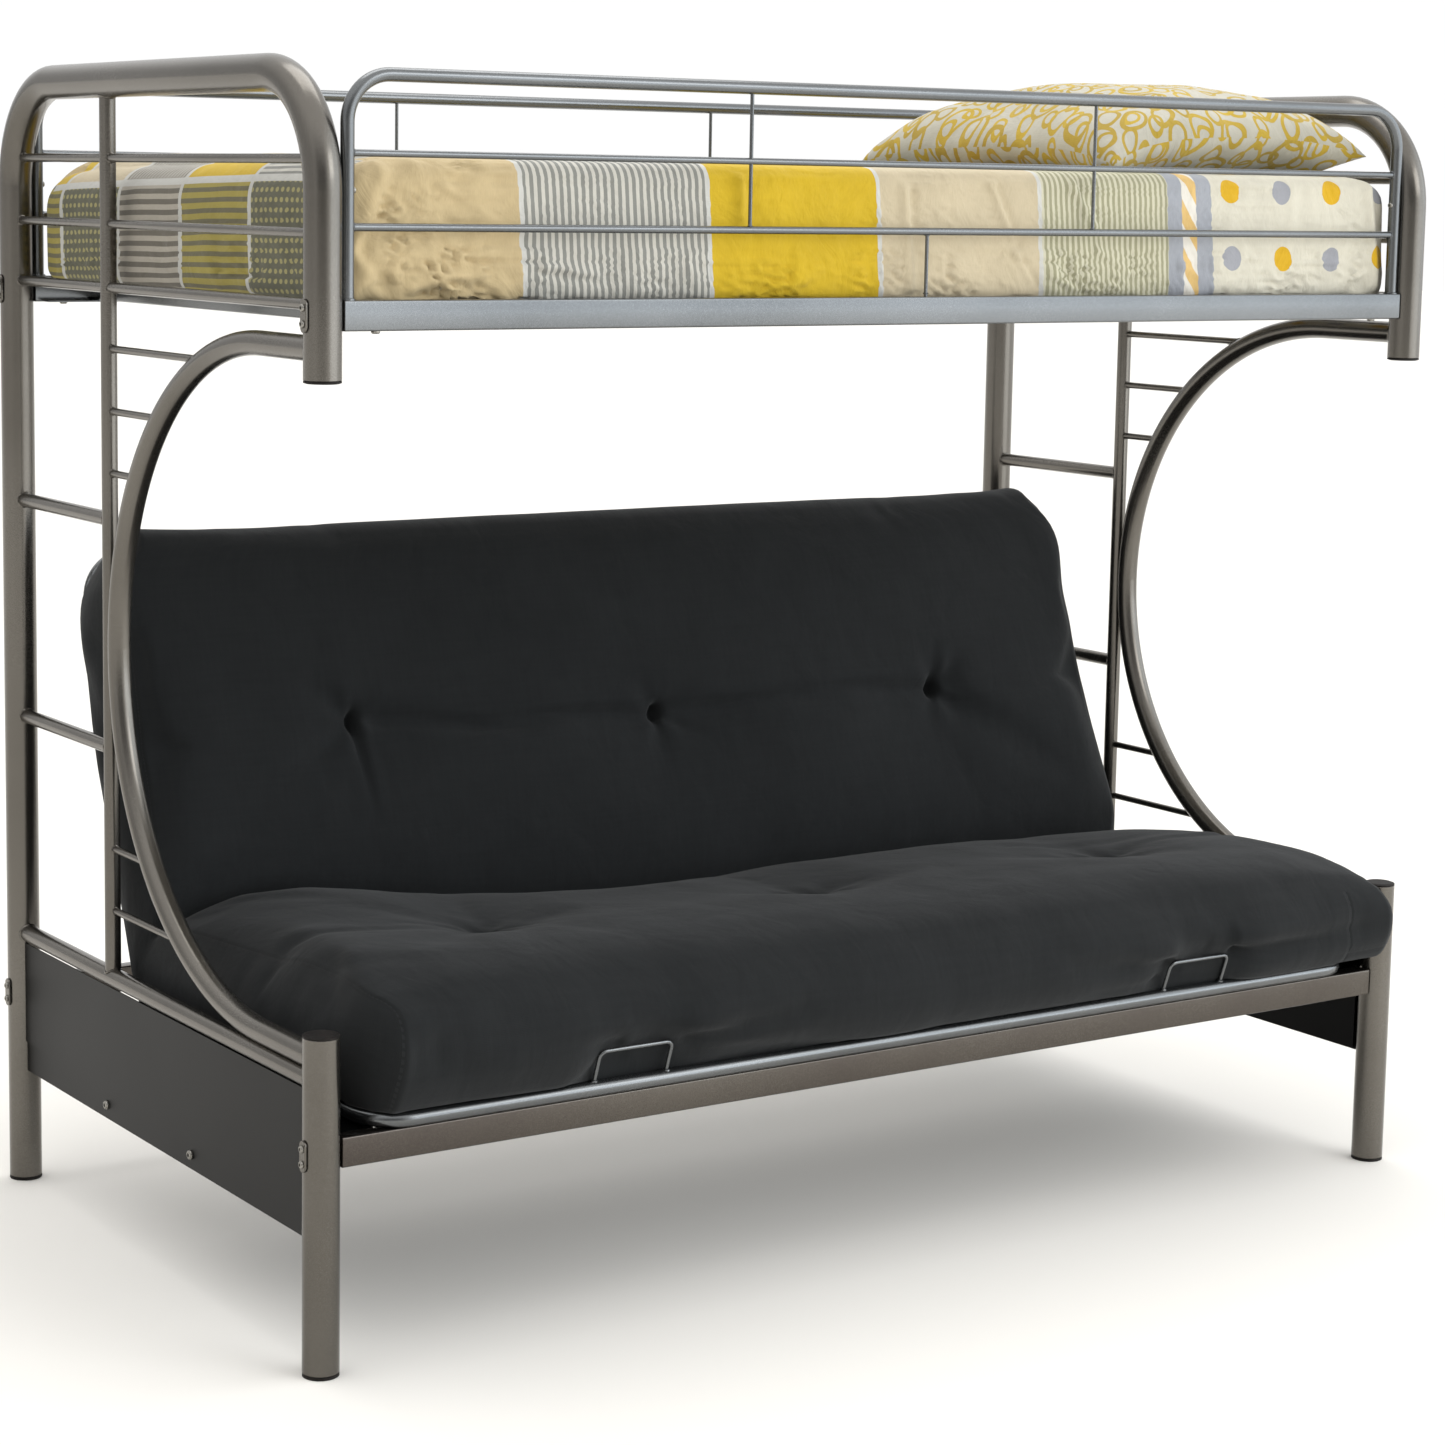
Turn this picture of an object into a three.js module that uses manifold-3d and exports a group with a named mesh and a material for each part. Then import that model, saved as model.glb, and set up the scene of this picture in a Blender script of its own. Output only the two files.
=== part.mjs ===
// Steel bunk bed with a twin bed above and a fold-out sofa bed below.
// Millimetres, +Z up, X along the bed, -Y towards the person who sits on the sofa.
// Inside the group the Y axis starts midway between the front and rear posts.
import * as THREE from 'three';
import { mergeVertices, mergeGeometries } from 'three/addons/utils/BufferGeometryUtils.js';
import Module from 'manifold-3d';

const wasm = await Module();
wasm.setup();

// Shared clearances
const seatGap = 0.3;
const cutOverrun = 1;

// Posts and the two end frames
const postPitchX = 1956;
const postPitchY = 1026;
const postRadius = 25.4;
const postSides = 20;
const hoopTop = 1755;
const hoopBendRadius = 155;
const hoopBendSteps = 6;
const upperPostDrop = 425;
const lowerPostTop = 470;
const footHeight = 4;
const capHeight = 3.5;
const capDome = 1.5;
const capRimRadius = 21;

// Half circle tube that joins the upper and lower front posts
const arcTubeRadius = 17;
const arcTubeSides = 14;
const arcDrop = 381;
const arcBendSteps = 10;

// Ladder post, steps and short rungs
const ladderRadius = 12;
const ladderSides = 10;
const stepRadius = 11;
const stepHeightShares = [0.339, 0.67];
const shortRungRadius = 5.5;
const shortRungLifts = [102.5, 196.5];
const shortRungDrops = [214, 123, 32];
const rungSides = 8;

// Bars across the head and foot of the upper bed, as drops from the top of the hoop
const endBarDrops = { bottom: 324, middle: 232, top: 137 };
const endBarRadii = { bottom: 8, middle: 6.5, top: 6.5 };

// Tube and folded sheet panel at the bottom of each end
const panelTubeRadius = 14;
const panelTubeZ = 402.5;
const panelBottom = 181;
const panelSheet = 2;
const panelOutset = 8;
const panelStep = 2.5;
const panelBandHeight = 48;
const panelFlangeReach = 12;

// Angle rail bolted inside each panel, on which the sofa bed slides
const slideRailSheet = 3;
const slideRailReach = 85;
const slideRailDrop = 141;
const slideRailEndNotch = 15;
const slideBoltRadius = 4;
const slideBoltHeadRadius = 6.5;
const slideBoltHeadHeight = 3.5;
const slideBoltHoleClearance = 0.5;
const slideBoltPlaces = [177, -119];
const slideBoltLift = 21;

// Rails of the upper bed and beams of the sofa
const railHeight = 40;
const railThickness = 25;
const railDrop = 317.5;
const ledgeReach = 22;
const ledgeSheet = 3;
const ledgeEndInset = 12;
const beamHeight = 42;
const beamTop = 327;

// Bolt plates on the outer side of each post
const plateWidth = 15;
const plateLength = 44;
const plateSheet = 3;
const plateBoltPitch = 21;
const plateBoltRadius = 4.8;
const plateBoltHeight = 3.5;

// Guard rails
const guardRadius = 9.25;
const guardSides = 12;
const guardHeight = 289.5;
const guardBendRadius = 62;
const guardToPost = 0.5;
const guardMiddleBarShare = 0.651;
const guardMiddleBarRadius = 4.75;
const guardLowBarShare = 0.323;
const guardLowBarRadius = 5.5;
const guardRodRadius = 3;
const guardRodSpreadShare = 0.331;

// Slats under the upper mattress
const slatCount = 8;
const slatWidth = 40;
const slatHeight = 30;
const slatEndInset = 112.3;

// Sofa bed decks
const deckRadius = 11;
const deckSides = 12;
const deckFrontY = -524;
const deckBendRadius = 60;
const hingeY = 186;
const hingeSetback = 47;
const backDeckLength = 710;
const backBendRadius = 75;
const backLeanDegrees = 69.5;
const deckRodRadius = 3.5;
const deckRodSides = 6;
const deckRodCount = 17;
const lugRadius = 9;
const lugSheet = 5;
const lugGap = 0.5;
const seatLugInset = 24;
const hingePinRadius = 4;
const hingePinClearance = 0.3;
const hingePinHeadRadius = 7;
const hingePinHeadHeight = 3;
const hingePinSides = 12;

// Wire loops that keep the sofa mattress on its deck
const futonOffset = 30;
const padToPost = 5.6;
const loopWireRadius = 3;
const loopWidth = 120;
const loopSpread = 528;
const loopRise = 46;
const loopLean = 18;
const loopBendRadius = 9;

// Sofa seat pad
const seatPadLift = 0.5;
const seatPadHeight = 155;
const seatPadTopFrontY = -530;
const seatPadBottomFrontY = -500;
const seatPadFrontReach = 572;
const seatPadEndBulge = 12;
const seatPadCreaseY = 78;
const seatPadRearY = 172;
const seatPadCornerRadius = 90;
const seatPadPeakShare = 0.27;
const seatPadFallShare = 0.52;

// Sofa back pad
const backPadThickness = 133;
const backPadTop = 724;
const backPadTopInset = 30;
const backPadHeelFront = 78.5;
const backPadHeelRear = 18;
const backPadEndBulge = 12;
const backPadCrown = 6;
const backPadCornerRadius = 105;

// Sewn tufts of both sofa pads
const tuftPitch = 581;
const tuftDepth = 20;
const tuftRadius = 70;

// Upper mattress
const mattressLift = 0.3;
const mattressHalfLength = 944;
const mattressHalfDepth = 488;
const mattressHeight = 193;
const mattressBulge = 5;
const mattressCrown = 14;
const mattressCornerRadius = 60;

// Pillow on the upper mattress
const pillowX = 678;
const pillowY = -140;
const pillowHalfLength = 262;
const pillowHalfDepth = 330;
const pillowHeight = 128;
const pillowSideDrawShare = 0.07;
const pillowFlatShare = 0.16;
const pillowSeamShare = 0.42;

// Sizes worked out from the ones above
const halfX = postPitchX / 2;
const halfY = postPitchY / 2;
const hoopTubeZ = hoopTop - postRadius;
const upperPostBottom = hoopTop - upperPostDrop;
const railTop = hoopTop - railDrop;
const postFace = halfY - postRadius - seatGap;
const footTop = footHeight + seatGap;
const arcTopZ = hoopTop - arcDrop;
const arcBottomZ = panelTubeZ + panelTubeRadius + seatGap + arcTubeRadius;
const arcRadius = (arcTopZ - arcBottomZ) / 2;
const arcMiddleZ = (arcTopZ + arcBottomZ) / 2;
const arcRearY = 134;
const arcCentreY = arcRearY - arcRadius;
const endBarHeights = {
  bottom: hoopTop - endBarDrops.bottom,
  middle: hoopTop - endBarDrops.middle,
  top: hoopTop - endBarDrops.top,
};
const stepHeights = stepHeightShares.map(
  (share) => THREE.MathUtils.lerp(panelTubeZ, endBarHeights.bottom, share),
);
const shortRungHeights = [
  ...shortRungLifts.map((lift) => panelTubeZ + lift),
  ...shortRungDrops.map((drop) => arcTopZ - drop),
];
const ladderY = arcRearY + arcTubeRadius + ladderRadius + seatGap;
const railOuterY = halfY + railThickness / 2;
const railInnerY = halfY - railThickness / 2;
const railHalfLength = halfX - postRadius - seatGap;
const railBottom = railTop - railHeight;
const slatFieldLength = 2 * (railHalfLength - slatEndInset);
const slatBottom = railBottom + ledgeSheet + seatGap;
const mattressBottom = slatBottom + slatHeight + mattressLift;
const deckZ = beamTop + seatGap + deckRadius;
const deckTop = deckZ + deckRadius;
const panelTop = panelTubeZ - panelTubeRadius - seatGap;
const slideRailInner = panelFlangeReach + seatGap;
const slideBoltZ = panelBottom + slideBoltLift;
const guardHalfLength = halfX - postRadius - guardToPost - guardRadius;
const guardTopZ = railTop + guardHeight;
const guardBars = [
  { z: railTop + guardHeight * guardMiddleBarShare, radius: guardMiddleBarRadius },
  { z: railTop + guardHeight * guardLowBarShare, radius: guardLowBarRadius },
];
const guardRodX = guardHalfLength * guardRodSpreadShare;
const deckHalfWidth = halfX - slideRailReach + deckRadius;
const deckRodPitch = (2 * deckHalfWidth) / (deckRodCount + 1);
const seatLugX = deckHalfWidth - seatLugInset;
const padHalfLength = halfX - postRadius - padToPost;
const seatPadHalfLength = padHalfLength - seatPadEndBulge;
const backPadHalfLength = padHalfLength - backPadEndBulge;
const backLean = THREE.MathUtils.degToRad(backLeanDegrees);
const frontReach = seatPadFrontReach;
const rearReach = halfY + postRadius;

// Materials
function paint(color, roughness, metalness) {
  return new THREE.MeshStandardMaterial({ color, roughness, metalness });
}
const silver = paint(0x8d8a84, 0.36, 0.85);
const gunmetal = paint(0x4b4b49, 0.42, 0.7);
const steel = paint(0x9c9994, 0.3, 0.95);
const blackPlastic = paint(0x1c1a18, 0.5, 0);
const charcoalFabric = paint(0x232626, 0.9, 0);
const bedding = paint(0xcbb98a, 0.9, 0);
const pillowCloth = paint(0xe6dfc8, 0.9, 0);

const model = new THREE.Group();
model.position.y = (frontReach - rearReach) / 2;

function place(name, geometry, material, parent = model) {
  const mesh = new THREE.Mesh(geometry, material);
  mesh.name = name;
  parent.add(mesh);
  return mesh;
}

// Joining and cutting of closed solids
function toSolid(geometry) {
  const bare = geometry.clone();
  bare.deleteAttribute('normal');
  bare.deleteAttribute('uv');
  const merged = mergeVertices(bare);
  return new wasm.Manifold(new wasm.Mesh({
    numProp: 3,
    vertProperties: new Float32Array(merged.attributes.position.array),
    triVerts: new Uint32Array(merged.index.array),
  }));
}

function toGeometry(solid) {
  const mesh = solid.getMesh();
  const geometry = new THREE.BufferGeometry();
  const positions = new Float32Array(mesh.numVert * 3);
  for (let v = 0; v < mesh.numVert; v += 1) {
    for (let k = 0; k < 3; k += 1) positions[v * 3 + k] = mesh.vertProperties[v * mesh.numProp + k];
  }
  geometry.setAttribute('position', new THREE.BufferAttribute(positions, 3));
  geometry.setIndex(new THREE.BufferAttribute(new Uint32Array(mesh.triVerts), 1));
  geometry.computeVertexNormals();
  return geometry;
}

function joined(geometries, cuts = []) {
  let solid = toSolid(geometries[0]);
  for (const geometry of geometries.slice(1)) solid = solid.add(toSolid(geometry));
  for (const cut of cuts) solid = solid.subtract(toSolid(cut));
  return toGeometry(solid);
}

// A route of straight runs with rounded corners, sampled only where it bends
class BentPath extends THREE.Curve {
  constructor(corners, bendRadius, bendSteps) {
    super();
    this.stations = [];
    const last = corners.length - 1;
    const heading = (from, to) => to.clone().sub(from).normalize();
    this.stations.push({ point: corners[0], tangent: heading(corners[0], corners[1]) });
    for (let c = 1; c < last; c += 1) {
      this.addBend(corners[c], heading(corners[c - 1], corners[c]), heading(corners[c], corners[c + 1]),
        bendRadius, bendSteps);
    }
    this.stations.push({ point: corners[last], tangent: heading(corners[last - 1], corners[last]) });
    this.steps = this.stations.length - 1;
  }

  addBend(corner, entry, exit, bendRadius, bendSteps) {
    const turn = entry.angleTo(exit);
    const setback = bendRadius * Math.tan(turn / 2);
    const start = corner.clone().addScaledVector(entry, -setback);
    const side = exit.clone().addScaledVector(entry, -entry.dot(exit)).normalize();
    for (let s = 0; s <= bendSteps; s += 1) {
      const angle = (turn * s) / bendSteps;
      const point = start.clone().addScaledVector(entry, bendRadius * Math.sin(angle))
        .addScaledVector(side, bendRadius * (1 - Math.cos(angle)));
      const tangent = entry.clone().multiplyScalar(Math.cos(angle)).addScaledVector(side, Math.sin(angle));
      this.stations.push({ point, tangent });
    }
  }

  at(t) {
    const along = Math.min(Math.max(t, 0), 1) * this.steps;
    const index = Math.min(Math.floor(along), this.steps - 1);
    return { from: this.stations[index], to: this.stations[index + 1], share: along - index };
  }

  getPoint(t, target = new THREE.Vector3()) {
    const { from, to, share } = this.at(t);
    return target.copy(from.point).lerp(to.point, share);
  }

  getTangent(t, target = new THREE.Vector3()) {
    const { from, to, share } = this.at(t);
    return target.copy(from.tangent).lerp(to.tangent, share).normalize();
  }

  getUtoTmapping(u) {
    return u;
  }
}

function roundSection(radius, sides) {
  const points = [];
  for (let i = 0; i < sides; i += 1) {
    const angle = (2 * Math.PI * i) / sides;
    points.push(new THREE.Vector2(radius * Math.cos(angle), radius * Math.sin(angle)));
  }
  return new THREE.Shape(points);
}

function bentTube(corners, radius, sides, bendRadius, bendSteps) {
  const path = new BentPath(corners, bendRadius, bendSteps);
  return new THREE.ExtrudeGeometry(roundSection(radius, sides), {
    steps: path.steps, bevelEnabled: false, extrudePath: path,
  });
}

function straightTube(from, to, radius, sides) {
  return bentTube([from, to], radius, sides, 0, 0);
}

function boxBetween(low, high) {
  const geometry = new THREE.BoxGeometry(high.x - low.x, high.y - low.y, high.z - low.z);
  return geometry.translate((low.x + high.x) / 2, (low.y + high.y) / 2, (low.z + high.z) / 2);
}

function point(x, y, z) {
  return new THREE.Vector3(x, y, z);
}

// Extrudes an outline drawn in X and Z along Y, centred on Y = 0
function extrudeAlongY(outline, length) {
  const shape = new THREE.Shape(outline.map(([x, z]) => new THREE.Vector2(x, z)));
  const geometry = new THREE.ExtrudeGeometry(shape, { depth: length, bevelEnabled: false });
  return geometry.rotateX(Math.PI / 2).translate(0, length / 2, 0);
}

// A disc with a rounded rim, for the plastic caps
function capGeometry(height, dome) {
  const profile = [[0, 0], [postRadius, 0], [postRadius, height - dome], [capRimRadius, height], [0, height]];
  const points = profile.map(([r, z]) => new THREE.Vector2(r, z));
  return new THREE.LatheGeometry(points, postSides).rotateX(Math.PI / 2);
}

// Reach from the middle to the inner side of the hoop, for a level bar at this height
function hoopReach(z, barRadius) {
  const bendZ = hoopTubeZ - hoopBendRadius;
  const rise = z + barRadius - bendZ;
  if (rise <= 0) return postFace;
  const flatShare = Math.cos(Math.PI / 4 / hoopBendSteps);
  const inner = (hoopBendRadius - postRadius) * flatShare - seatGap;
  return halfY - hoopBendRadius + Math.sqrt(inner ** 2 - rise ** 2);
}

// End frames
function addHoop(side, name) {
  const x = side * halfX;
  const corners = [
    point(x, halfY, footTop), point(x, halfY, hoopTubeZ),
    point(x, -halfY, hoopTubeZ), point(x, -halfY, upperPostBottom + capHeight + seatGap),
  ];
  place(`hoop_post_${name}`, bentTube(corners, postRadius, postSides, hoopBendRadius,
    hoopBendSteps), silver);
}

function addLowerPost(side, name) {
  const x = side * halfX;
  const top = lowerPostTop - capHeight - seatGap;
  place(`front_leg_${name}`, straightTube(point(x, -halfY, footTop), point(x, -halfY, top),
    postRadius, postSides), silver);
}

function addArc(side, name) {
  const x = side * halfX;
  const corners = [
    point(x, -postFace, arcTopZ), point(x, arcRearY, arcTopZ),
    point(x, arcRearY, arcBottomZ), point(x, -postFace, arcBottomZ),
  ];
  place(`arc_tube_${name}`, bentTube(corners, arcTubeRadius, arcTubeSides, arcRadius, arcBendSteps), silver);
}

// Where a level rung at this height meets the outer side of the half circle tube
function arcFaceY(z, rungRadius) {
  const nearest = Math.max(Math.abs(z - arcMiddleZ) - rungRadius, 0);
  return arcCentreY + Math.sqrt((arcRadius + arcTubeRadius + seatGap) ** 2 - nearest ** 2);
}

function addLadder(side, name) {
  const x = side * halfX;
  const bottom = panelTubeZ + panelTubeRadius + seatGap;
  const top = hoopTubeZ - postRadius - seatGap;
  const pieces = [straightTube(point(x, ladderY, bottom), point(x, ladderY, top), ladderRadius, ladderSides)];
  for (const z of stepHeights) {
    pieces.push(straightTube(point(x, ladderY, z), point(x, postFace, z), stepRadius, ladderSides));
  }
  for (const [key, z] of Object.entries(endBarHeights)) {
    pieces.push(straightTube(point(x, ladderY, z), point(x, hoopReach(z, endBarRadii[key]), z),
      endBarRadii[key], rungSides));
  }
  for (const z of shortRungHeights) {
    pieces.push(straightTube(point(x, ladderY, z), point(x, arcFaceY(z, shortRungRadius), z),
      shortRungRadius, rungSides));
  }
  place(`ladder_${name}`, joined(pieces), silver);
}

function addEndBars(side, name) {
  const x = side * halfX;
  const rear = ladderY - ladderRadius - seatGap;
  for (const [key, z] of Object.entries(endBarHeights)) {
    place(`end_bar_${key}_${name}`, straightTube(point(x, -hoopReach(z, endBarRadii[key]), z),
      point(x, rear, z), endBarRadii[key], rungSides), silver);
  }
}

function addPanelTube(side, name) {
  const x = side * halfX;
  place(`panel_tube_${name}`, straightTube(point(x, -postFace, panelTubeZ), point(x, postFace, panelTubeZ),
    panelTubeRadius, arcTubeSides), silver);
}

function boltHole(side, y) {
  const shaft = slideBoltRadius + slideBoltHoleClearance;
  return straightTube(point(side * (halfX + panelOutset + cutOverrun), y, slideBoltZ),
    point(side * (halfX - slideRailInner), y, slideBoltZ), shaft, rungSides);
}

// Outlines of the panel and the slide rail, with x measured inwards from the end plane
function addPanel(side, name) {
  const crease = panelBottom + panelBandHeight;
  const outer = -panelOutset;
  const band = panelStep - panelOutset;
  const outline = [
    [outer, panelTop], [outer, crease], [band, crease], [band, panelBottom],
    [panelFlangeReach, panelBottom], [panelFlangeReach, crease - panelSheet],
    [panelFlangeReach - panelSheet, crease - panelSheet],
    [panelFlangeReach - panelSheet, panelBottom + panelSheet],
    [band + panelSheet, panelBottom + panelSheet], [band + panelSheet, crease + panelSheet],
    [outer + panelSheet, crease + panelSheet], [outer + panelSheet, panelTop],
  ];
  const places = outline.map(([inward, z]) => [side * (halfX - inward), z]);
  const sheet = extrudeAlongY(places, 2 * postFace);
  const holes = slideBoltPlaces.map((y) => boltHole(side, y));
  place(`side_panel_${name}`, joined([sheet], holes), gunmetal);
}

function addSlideRail(side, name) {
  const inner = slideRailInner;
  const bottom = beamTop - slideRailDrop;
  const outline = [
    [inner, bottom], [inner + slideRailSheet, bottom], [inner + slideRailSheet, beamTop - slideRailSheet],
    [slideRailReach, beamTop - slideRailSheet], [slideRailReach, beamTop], [inner, beamTop],
  ];
  const places = outline.map(([inward, z]) => [side * (halfX - inward), z]);
  const tipX = [side * (halfX - slideRailReach), side * (halfX - postRadius - slideRailSheet)];
  const tips = boxBetween(
    point(Math.min(...tipX), seatGap - railInnerY, beamTop - slideRailSheet),
    point(Math.max(...tipX), railInnerY - seatGap, beamTop),
  );
  const pieces = [extrudeAlongY(places, 2 * (railInnerY - slideRailEndNotch)), tips];
  const bandFace = halfX + panelOutset - panelStep + seatGap;
  const headEnd = bandFace + slideBoltHeadHeight;
  for (const y of slideBoltPlaces) {
    const shankEnd = side * (halfX - inner - slideRailSheet / 2);
    pieces.push(straightTube(point(shankEnd, y, slideBoltZ), point(side * (bandFace + plateSheet / 2), y,
      slideBoltZ), slideBoltRadius, rungSides));
    pieces.push(straightTube(point(side * bandFace, y, slideBoltZ), point(side * headEnd, y, slideBoltZ),
      slideBoltHeadRadius, guardSides));
  }
  place(`slide_rail_${name}`, joined(pieces), gunmetal);
}

function addCaps(side, name) {
  const x = side * halfX;
  const foot = () => capGeometry(footHeight, 0);
  place(`front_foot_${name}`, foot(), blackPlastic).position.set(x, -halfY, 0);
  place(`rear_foot_${name}`, foot(), blackPlastic).position.set(x, halfY, 0);
  place(`leg_cap_${name}`, capGeometry(capHeight, capDome), blackPlastic)
    .position.set(x, -halfY, lowerPostTop - capHeight);
  const upper = place(`upper_post_cap_${name}`, capGeometry(capHeight, capDome), blackPlastic);
  upper.rotation.x = Math.PI;
  upper.position.set(x, -halfY, upperPostBottom + capHeight);
}

// A plate with two bolt heads on the outer side of a post
function addBoltPlate(side, y, z, name) {
  const x = side * (halfX + postRadius + seatGap);
  const shape = new THREE.Shape();
  const straight = (plateLength - plateWidth) / 2;
  shape.absarc(0, straight, plateWidth / 2, 0, Math.PI, false);
  shape.absarc(0, -straight, plateWidth / 2, Math.PI, 2 * Math.PI, false);
  const plate = new THREE.ExtrudeGeometry(
    shape,
    { depth: plateSheet, bevelEnabled: false, curveSegments: 4 },
  );
  plate.rotateX(Math.PI / 2).rotateZ(Math.PI / 2);
  plate.translate(side > 0 ? 0 : -plateSheet, 0, 0);
  const pieces = [plate];
  for (const end of [-1, 1]) {
    const height = (end * plateBoltPitch) / 2;
    pieces.push(straightTube(point((side * plateSheet) / 2, 0, height),
      point(side * (plateSheet + plateBoltHeight), 0, height), plateBoltRadius, rungSides));
  }
  place(`bolt_plate_${name}`, joined(pieces), steel).position.set(x, y, z);
}

const ends = [[-1, 'left'], [1, 'right']];
const railMiddle = railTop - railHeight / 2;
const beamMiddle = beamTop - beamHeight / 2;
for (const [side, name] of ends) {
  addHoop(side, name);
  addLowerPost(side, name);
  addArc(side, name);
  addLadder(side, name);
  addEndBars(side, name);
  addPanelTube(side, name);
  addPanel(side, name);
  addSlideRail(side, name);
  addCaps(side, name);
  addBoltPlate(side, -halfY, railMiddle, `upper_front_${name}`);
  addBoltPlate(side, halfY, railMiddle, `upper_rear_${name}`);
  addBoltPlate(side, -halfY, beamMiddle, `lower_front_${name}`);
  addBoltPlate(side, halfY, beamMiddle, `lower_rear_${name}`);
}

// Long members between the two ends
function addRail(side, name) {
  const tube = boxBetween(point(-railHalfLength, Math.min(side * railOuterY, side * railInnerY), railBottom),
    point(railHalfLength, Math.max(side * railOuterY, side * railInnerY), railTop));
  const ledgeHalf = railHalfLength - ledgeEndInset;
  const ledgeY = [side * (railInnerY - ledgeReach), side * (railInnerY + ledgeSheet)];
  const ledge = boxBetween(point(-ledgeHalf, Math.min(...ledgeY), railBottom),
    point(ledgeHalf, Math.max(...ledgeY), railBottom + ledgeSheet));
  place(`upper_rail_${name}`, joined([tube, ledge]), silver);
}

function addBeam(side, name) {
  place(`sofa_beam_${name}`, boxBetween(
    point(-railHalfLength, Math.min(side * railOuterY, side * railInnerY), beamTop - beamHeight),
    point(railHalfLength, Math.max(side * railOuterY, side * railInnerY), beamTop),
  ), silver);
}

function addGuardFrame(side, name) {
  const y = side * halfY;
  const bottom = railTop + seatGap;
  const frame = [
    point(-guardHalfLength, y, bottom), point(-guardHalfLength, y, guardTopZ),
    point(guardHalfLength, y, guardTopZ), point(guardHalfLength, y, bottom),
  ];
  place(`guard_frame_${name}`, bentTube(frame, guardRadius, guardSides, guardBendRadius, 5), silver);
}

function addGuardBars(side, name) {
  const y = side * halfY;
  const reach = guardHalfLength - guardRadius - seatGap;
  const pieces = guardBars.map((bar) => straightTube(point(-reach, y, bar.z), point(reach, y, bar.z),
    bar.radius, rungSides));
  const lowestBar = guardBars[guardBars.length - 1].z;
  const rodTop = guardTopZ - guardRadius - seatGap;
  for (const x of [-guardRodX, guardRodX]) {
    pieces.push(straightTube(point(x, y, lowestBar), point(x, y, rodTop), guardRodRadius, deckRodSides));
  }
  pieces.push(straightTube(point(0, y, railTop + seatGap), point(0, y, lowestBar), guardRodRadius,
    deckRodSides));
  place(`guard_bars_${name}`, joined(pieces), silver);
}

for (const [side, name] of [[-1, 'front'], [1, 'rear']]) {
  addRail(side, name);
  addBeam(side, name);
  addGuardFrame(side, name);
  addGuardBars(side, name);
}

for (let i = 0; i < slatCount; i += 1) {
  const x = slatFieldLength * (i / (slatCount - 1) - 0.5);
  const reach = railInnerY - seatGap;
  place(`bed_slat_${i + 1}`, boxBetween(point(x - slatWidth / 2, -reach, slatBottom),
    point(x + slatWidth / 2, reach, slatBottom + slatHeight)), silver);
}

// Sofa bed decks, each drawn flat: x along the bed, y from the hinge line, z through the deck
function deckFrame(nearY, farY, bendRadius) {
  const frame = [
    point(-deckHalfWidth, nearY, 0), point(-deckHalfWidth, farY, 0),
    point(deckHalfWidth, farY, 0), point(deckHalfWidth, nearY, 0),
  ];
  const pieces = [bentTube(frame, deckRadius, deckSides, bendRadius, 5)];
  pieces.push(straightTube(point(-deckHalfWidth, nearY, 0), point(deckHalfWidth, nearY, 0),
    deckRadius, deckSides));
  for (let i = 0; i < deckRodCount; i += 1) {
    const x = deckRodPitch * (i - (deckRodCount - 1) / 2);
    pieces.push(straightTube(point(x, nearY, 0), point(x, farY, 0), deckRodRadius, deckRodSides));
  }
  return pieces;
}

// Hinge ears: x of the ear's middle, and how far from the hinge line its deck's cross tube lies
function hingeEar(x, crossTubeY) {
  const plate = boxBetween(point(x - lugSheet / 2, Math.min(crossTubeY, 0), -lugRadius),
    point(x + lugSheet / 2, Math.max(crossTubeY, 0), lugRadius));
  const nose = straightTube(point(x - lugSheet / 2, 0, 0), point(x + lugSheet / 2, 0, 0),
    lugRadius, arcTubeSides);
  return [plate, nose];
}

function hingeHoles() {
  const radius = hingePinRadius + hingePinClearance;
  return ends.map(([side]) => straightTube(point(side * (seatLugX - 2 * lugSheet), 0, 0),
    point(side * (seatLugX + 3 * lugSheet), 0, 0), radius, hingePinSides));
}

function wireLoop(centreX, frontY) {
  const top = deckRadius + loopRise;
  const corners = [
    point(centreX - loopWidth / 2, frontY, 0), point(centreX - loopWidth / 2, frontY, deckRadius),
    point(centreX - loopWidth / 2, frontY - loopLean, top),
    point(centreX + loopWidth / 2, frontY - loopLean, top),
    point(centreX + loopWidth / 2, frontY, deckRadius), point(centreX + loopWidth / 2, frontY, 0),
  ];
  return bentTube(corners, loopWireRadius, deckRodSides, loopBendRadius, 3);
}

const seatGroup = new THREE.Group();
seatGroup.position.set(0, hingeY, deckZ);
model.add(seatGroup);

const backGroup = new THREE.Group();
backGroup.position.set(0, hingeY, deckZ);
backGroup.rotation.x = backLean;
model.add(backGroup);

function addSeatDeck() {
  const frontY = deckFrontY - hingeY;
  const pieces = deckFrame(-hingeSetback, frontY, deckBendRadius);
  for (const [side] of ends) {
    pieces.push(...hingeEar(side * seatLugX, -hingeSetback));
    pieces.push(wireLoop(futonOffset + side * loopSpread, frontY));
  }
  place('seat_deck', joined(pieces, hingeHoles()), silver, seatGroup);
}

function addBackDeck() {
  const pieces = deckFrame(hingeSetback, backDeckLength, backBendRadius);
  for (const [side] of ends) pieces.push(...hingeEar(side * (seatLugX + lugSheet + lugGap), hingeSetback));
  place('back_deck', joined(pieces, hingeHoles()), silver, backGroup);
}

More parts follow.
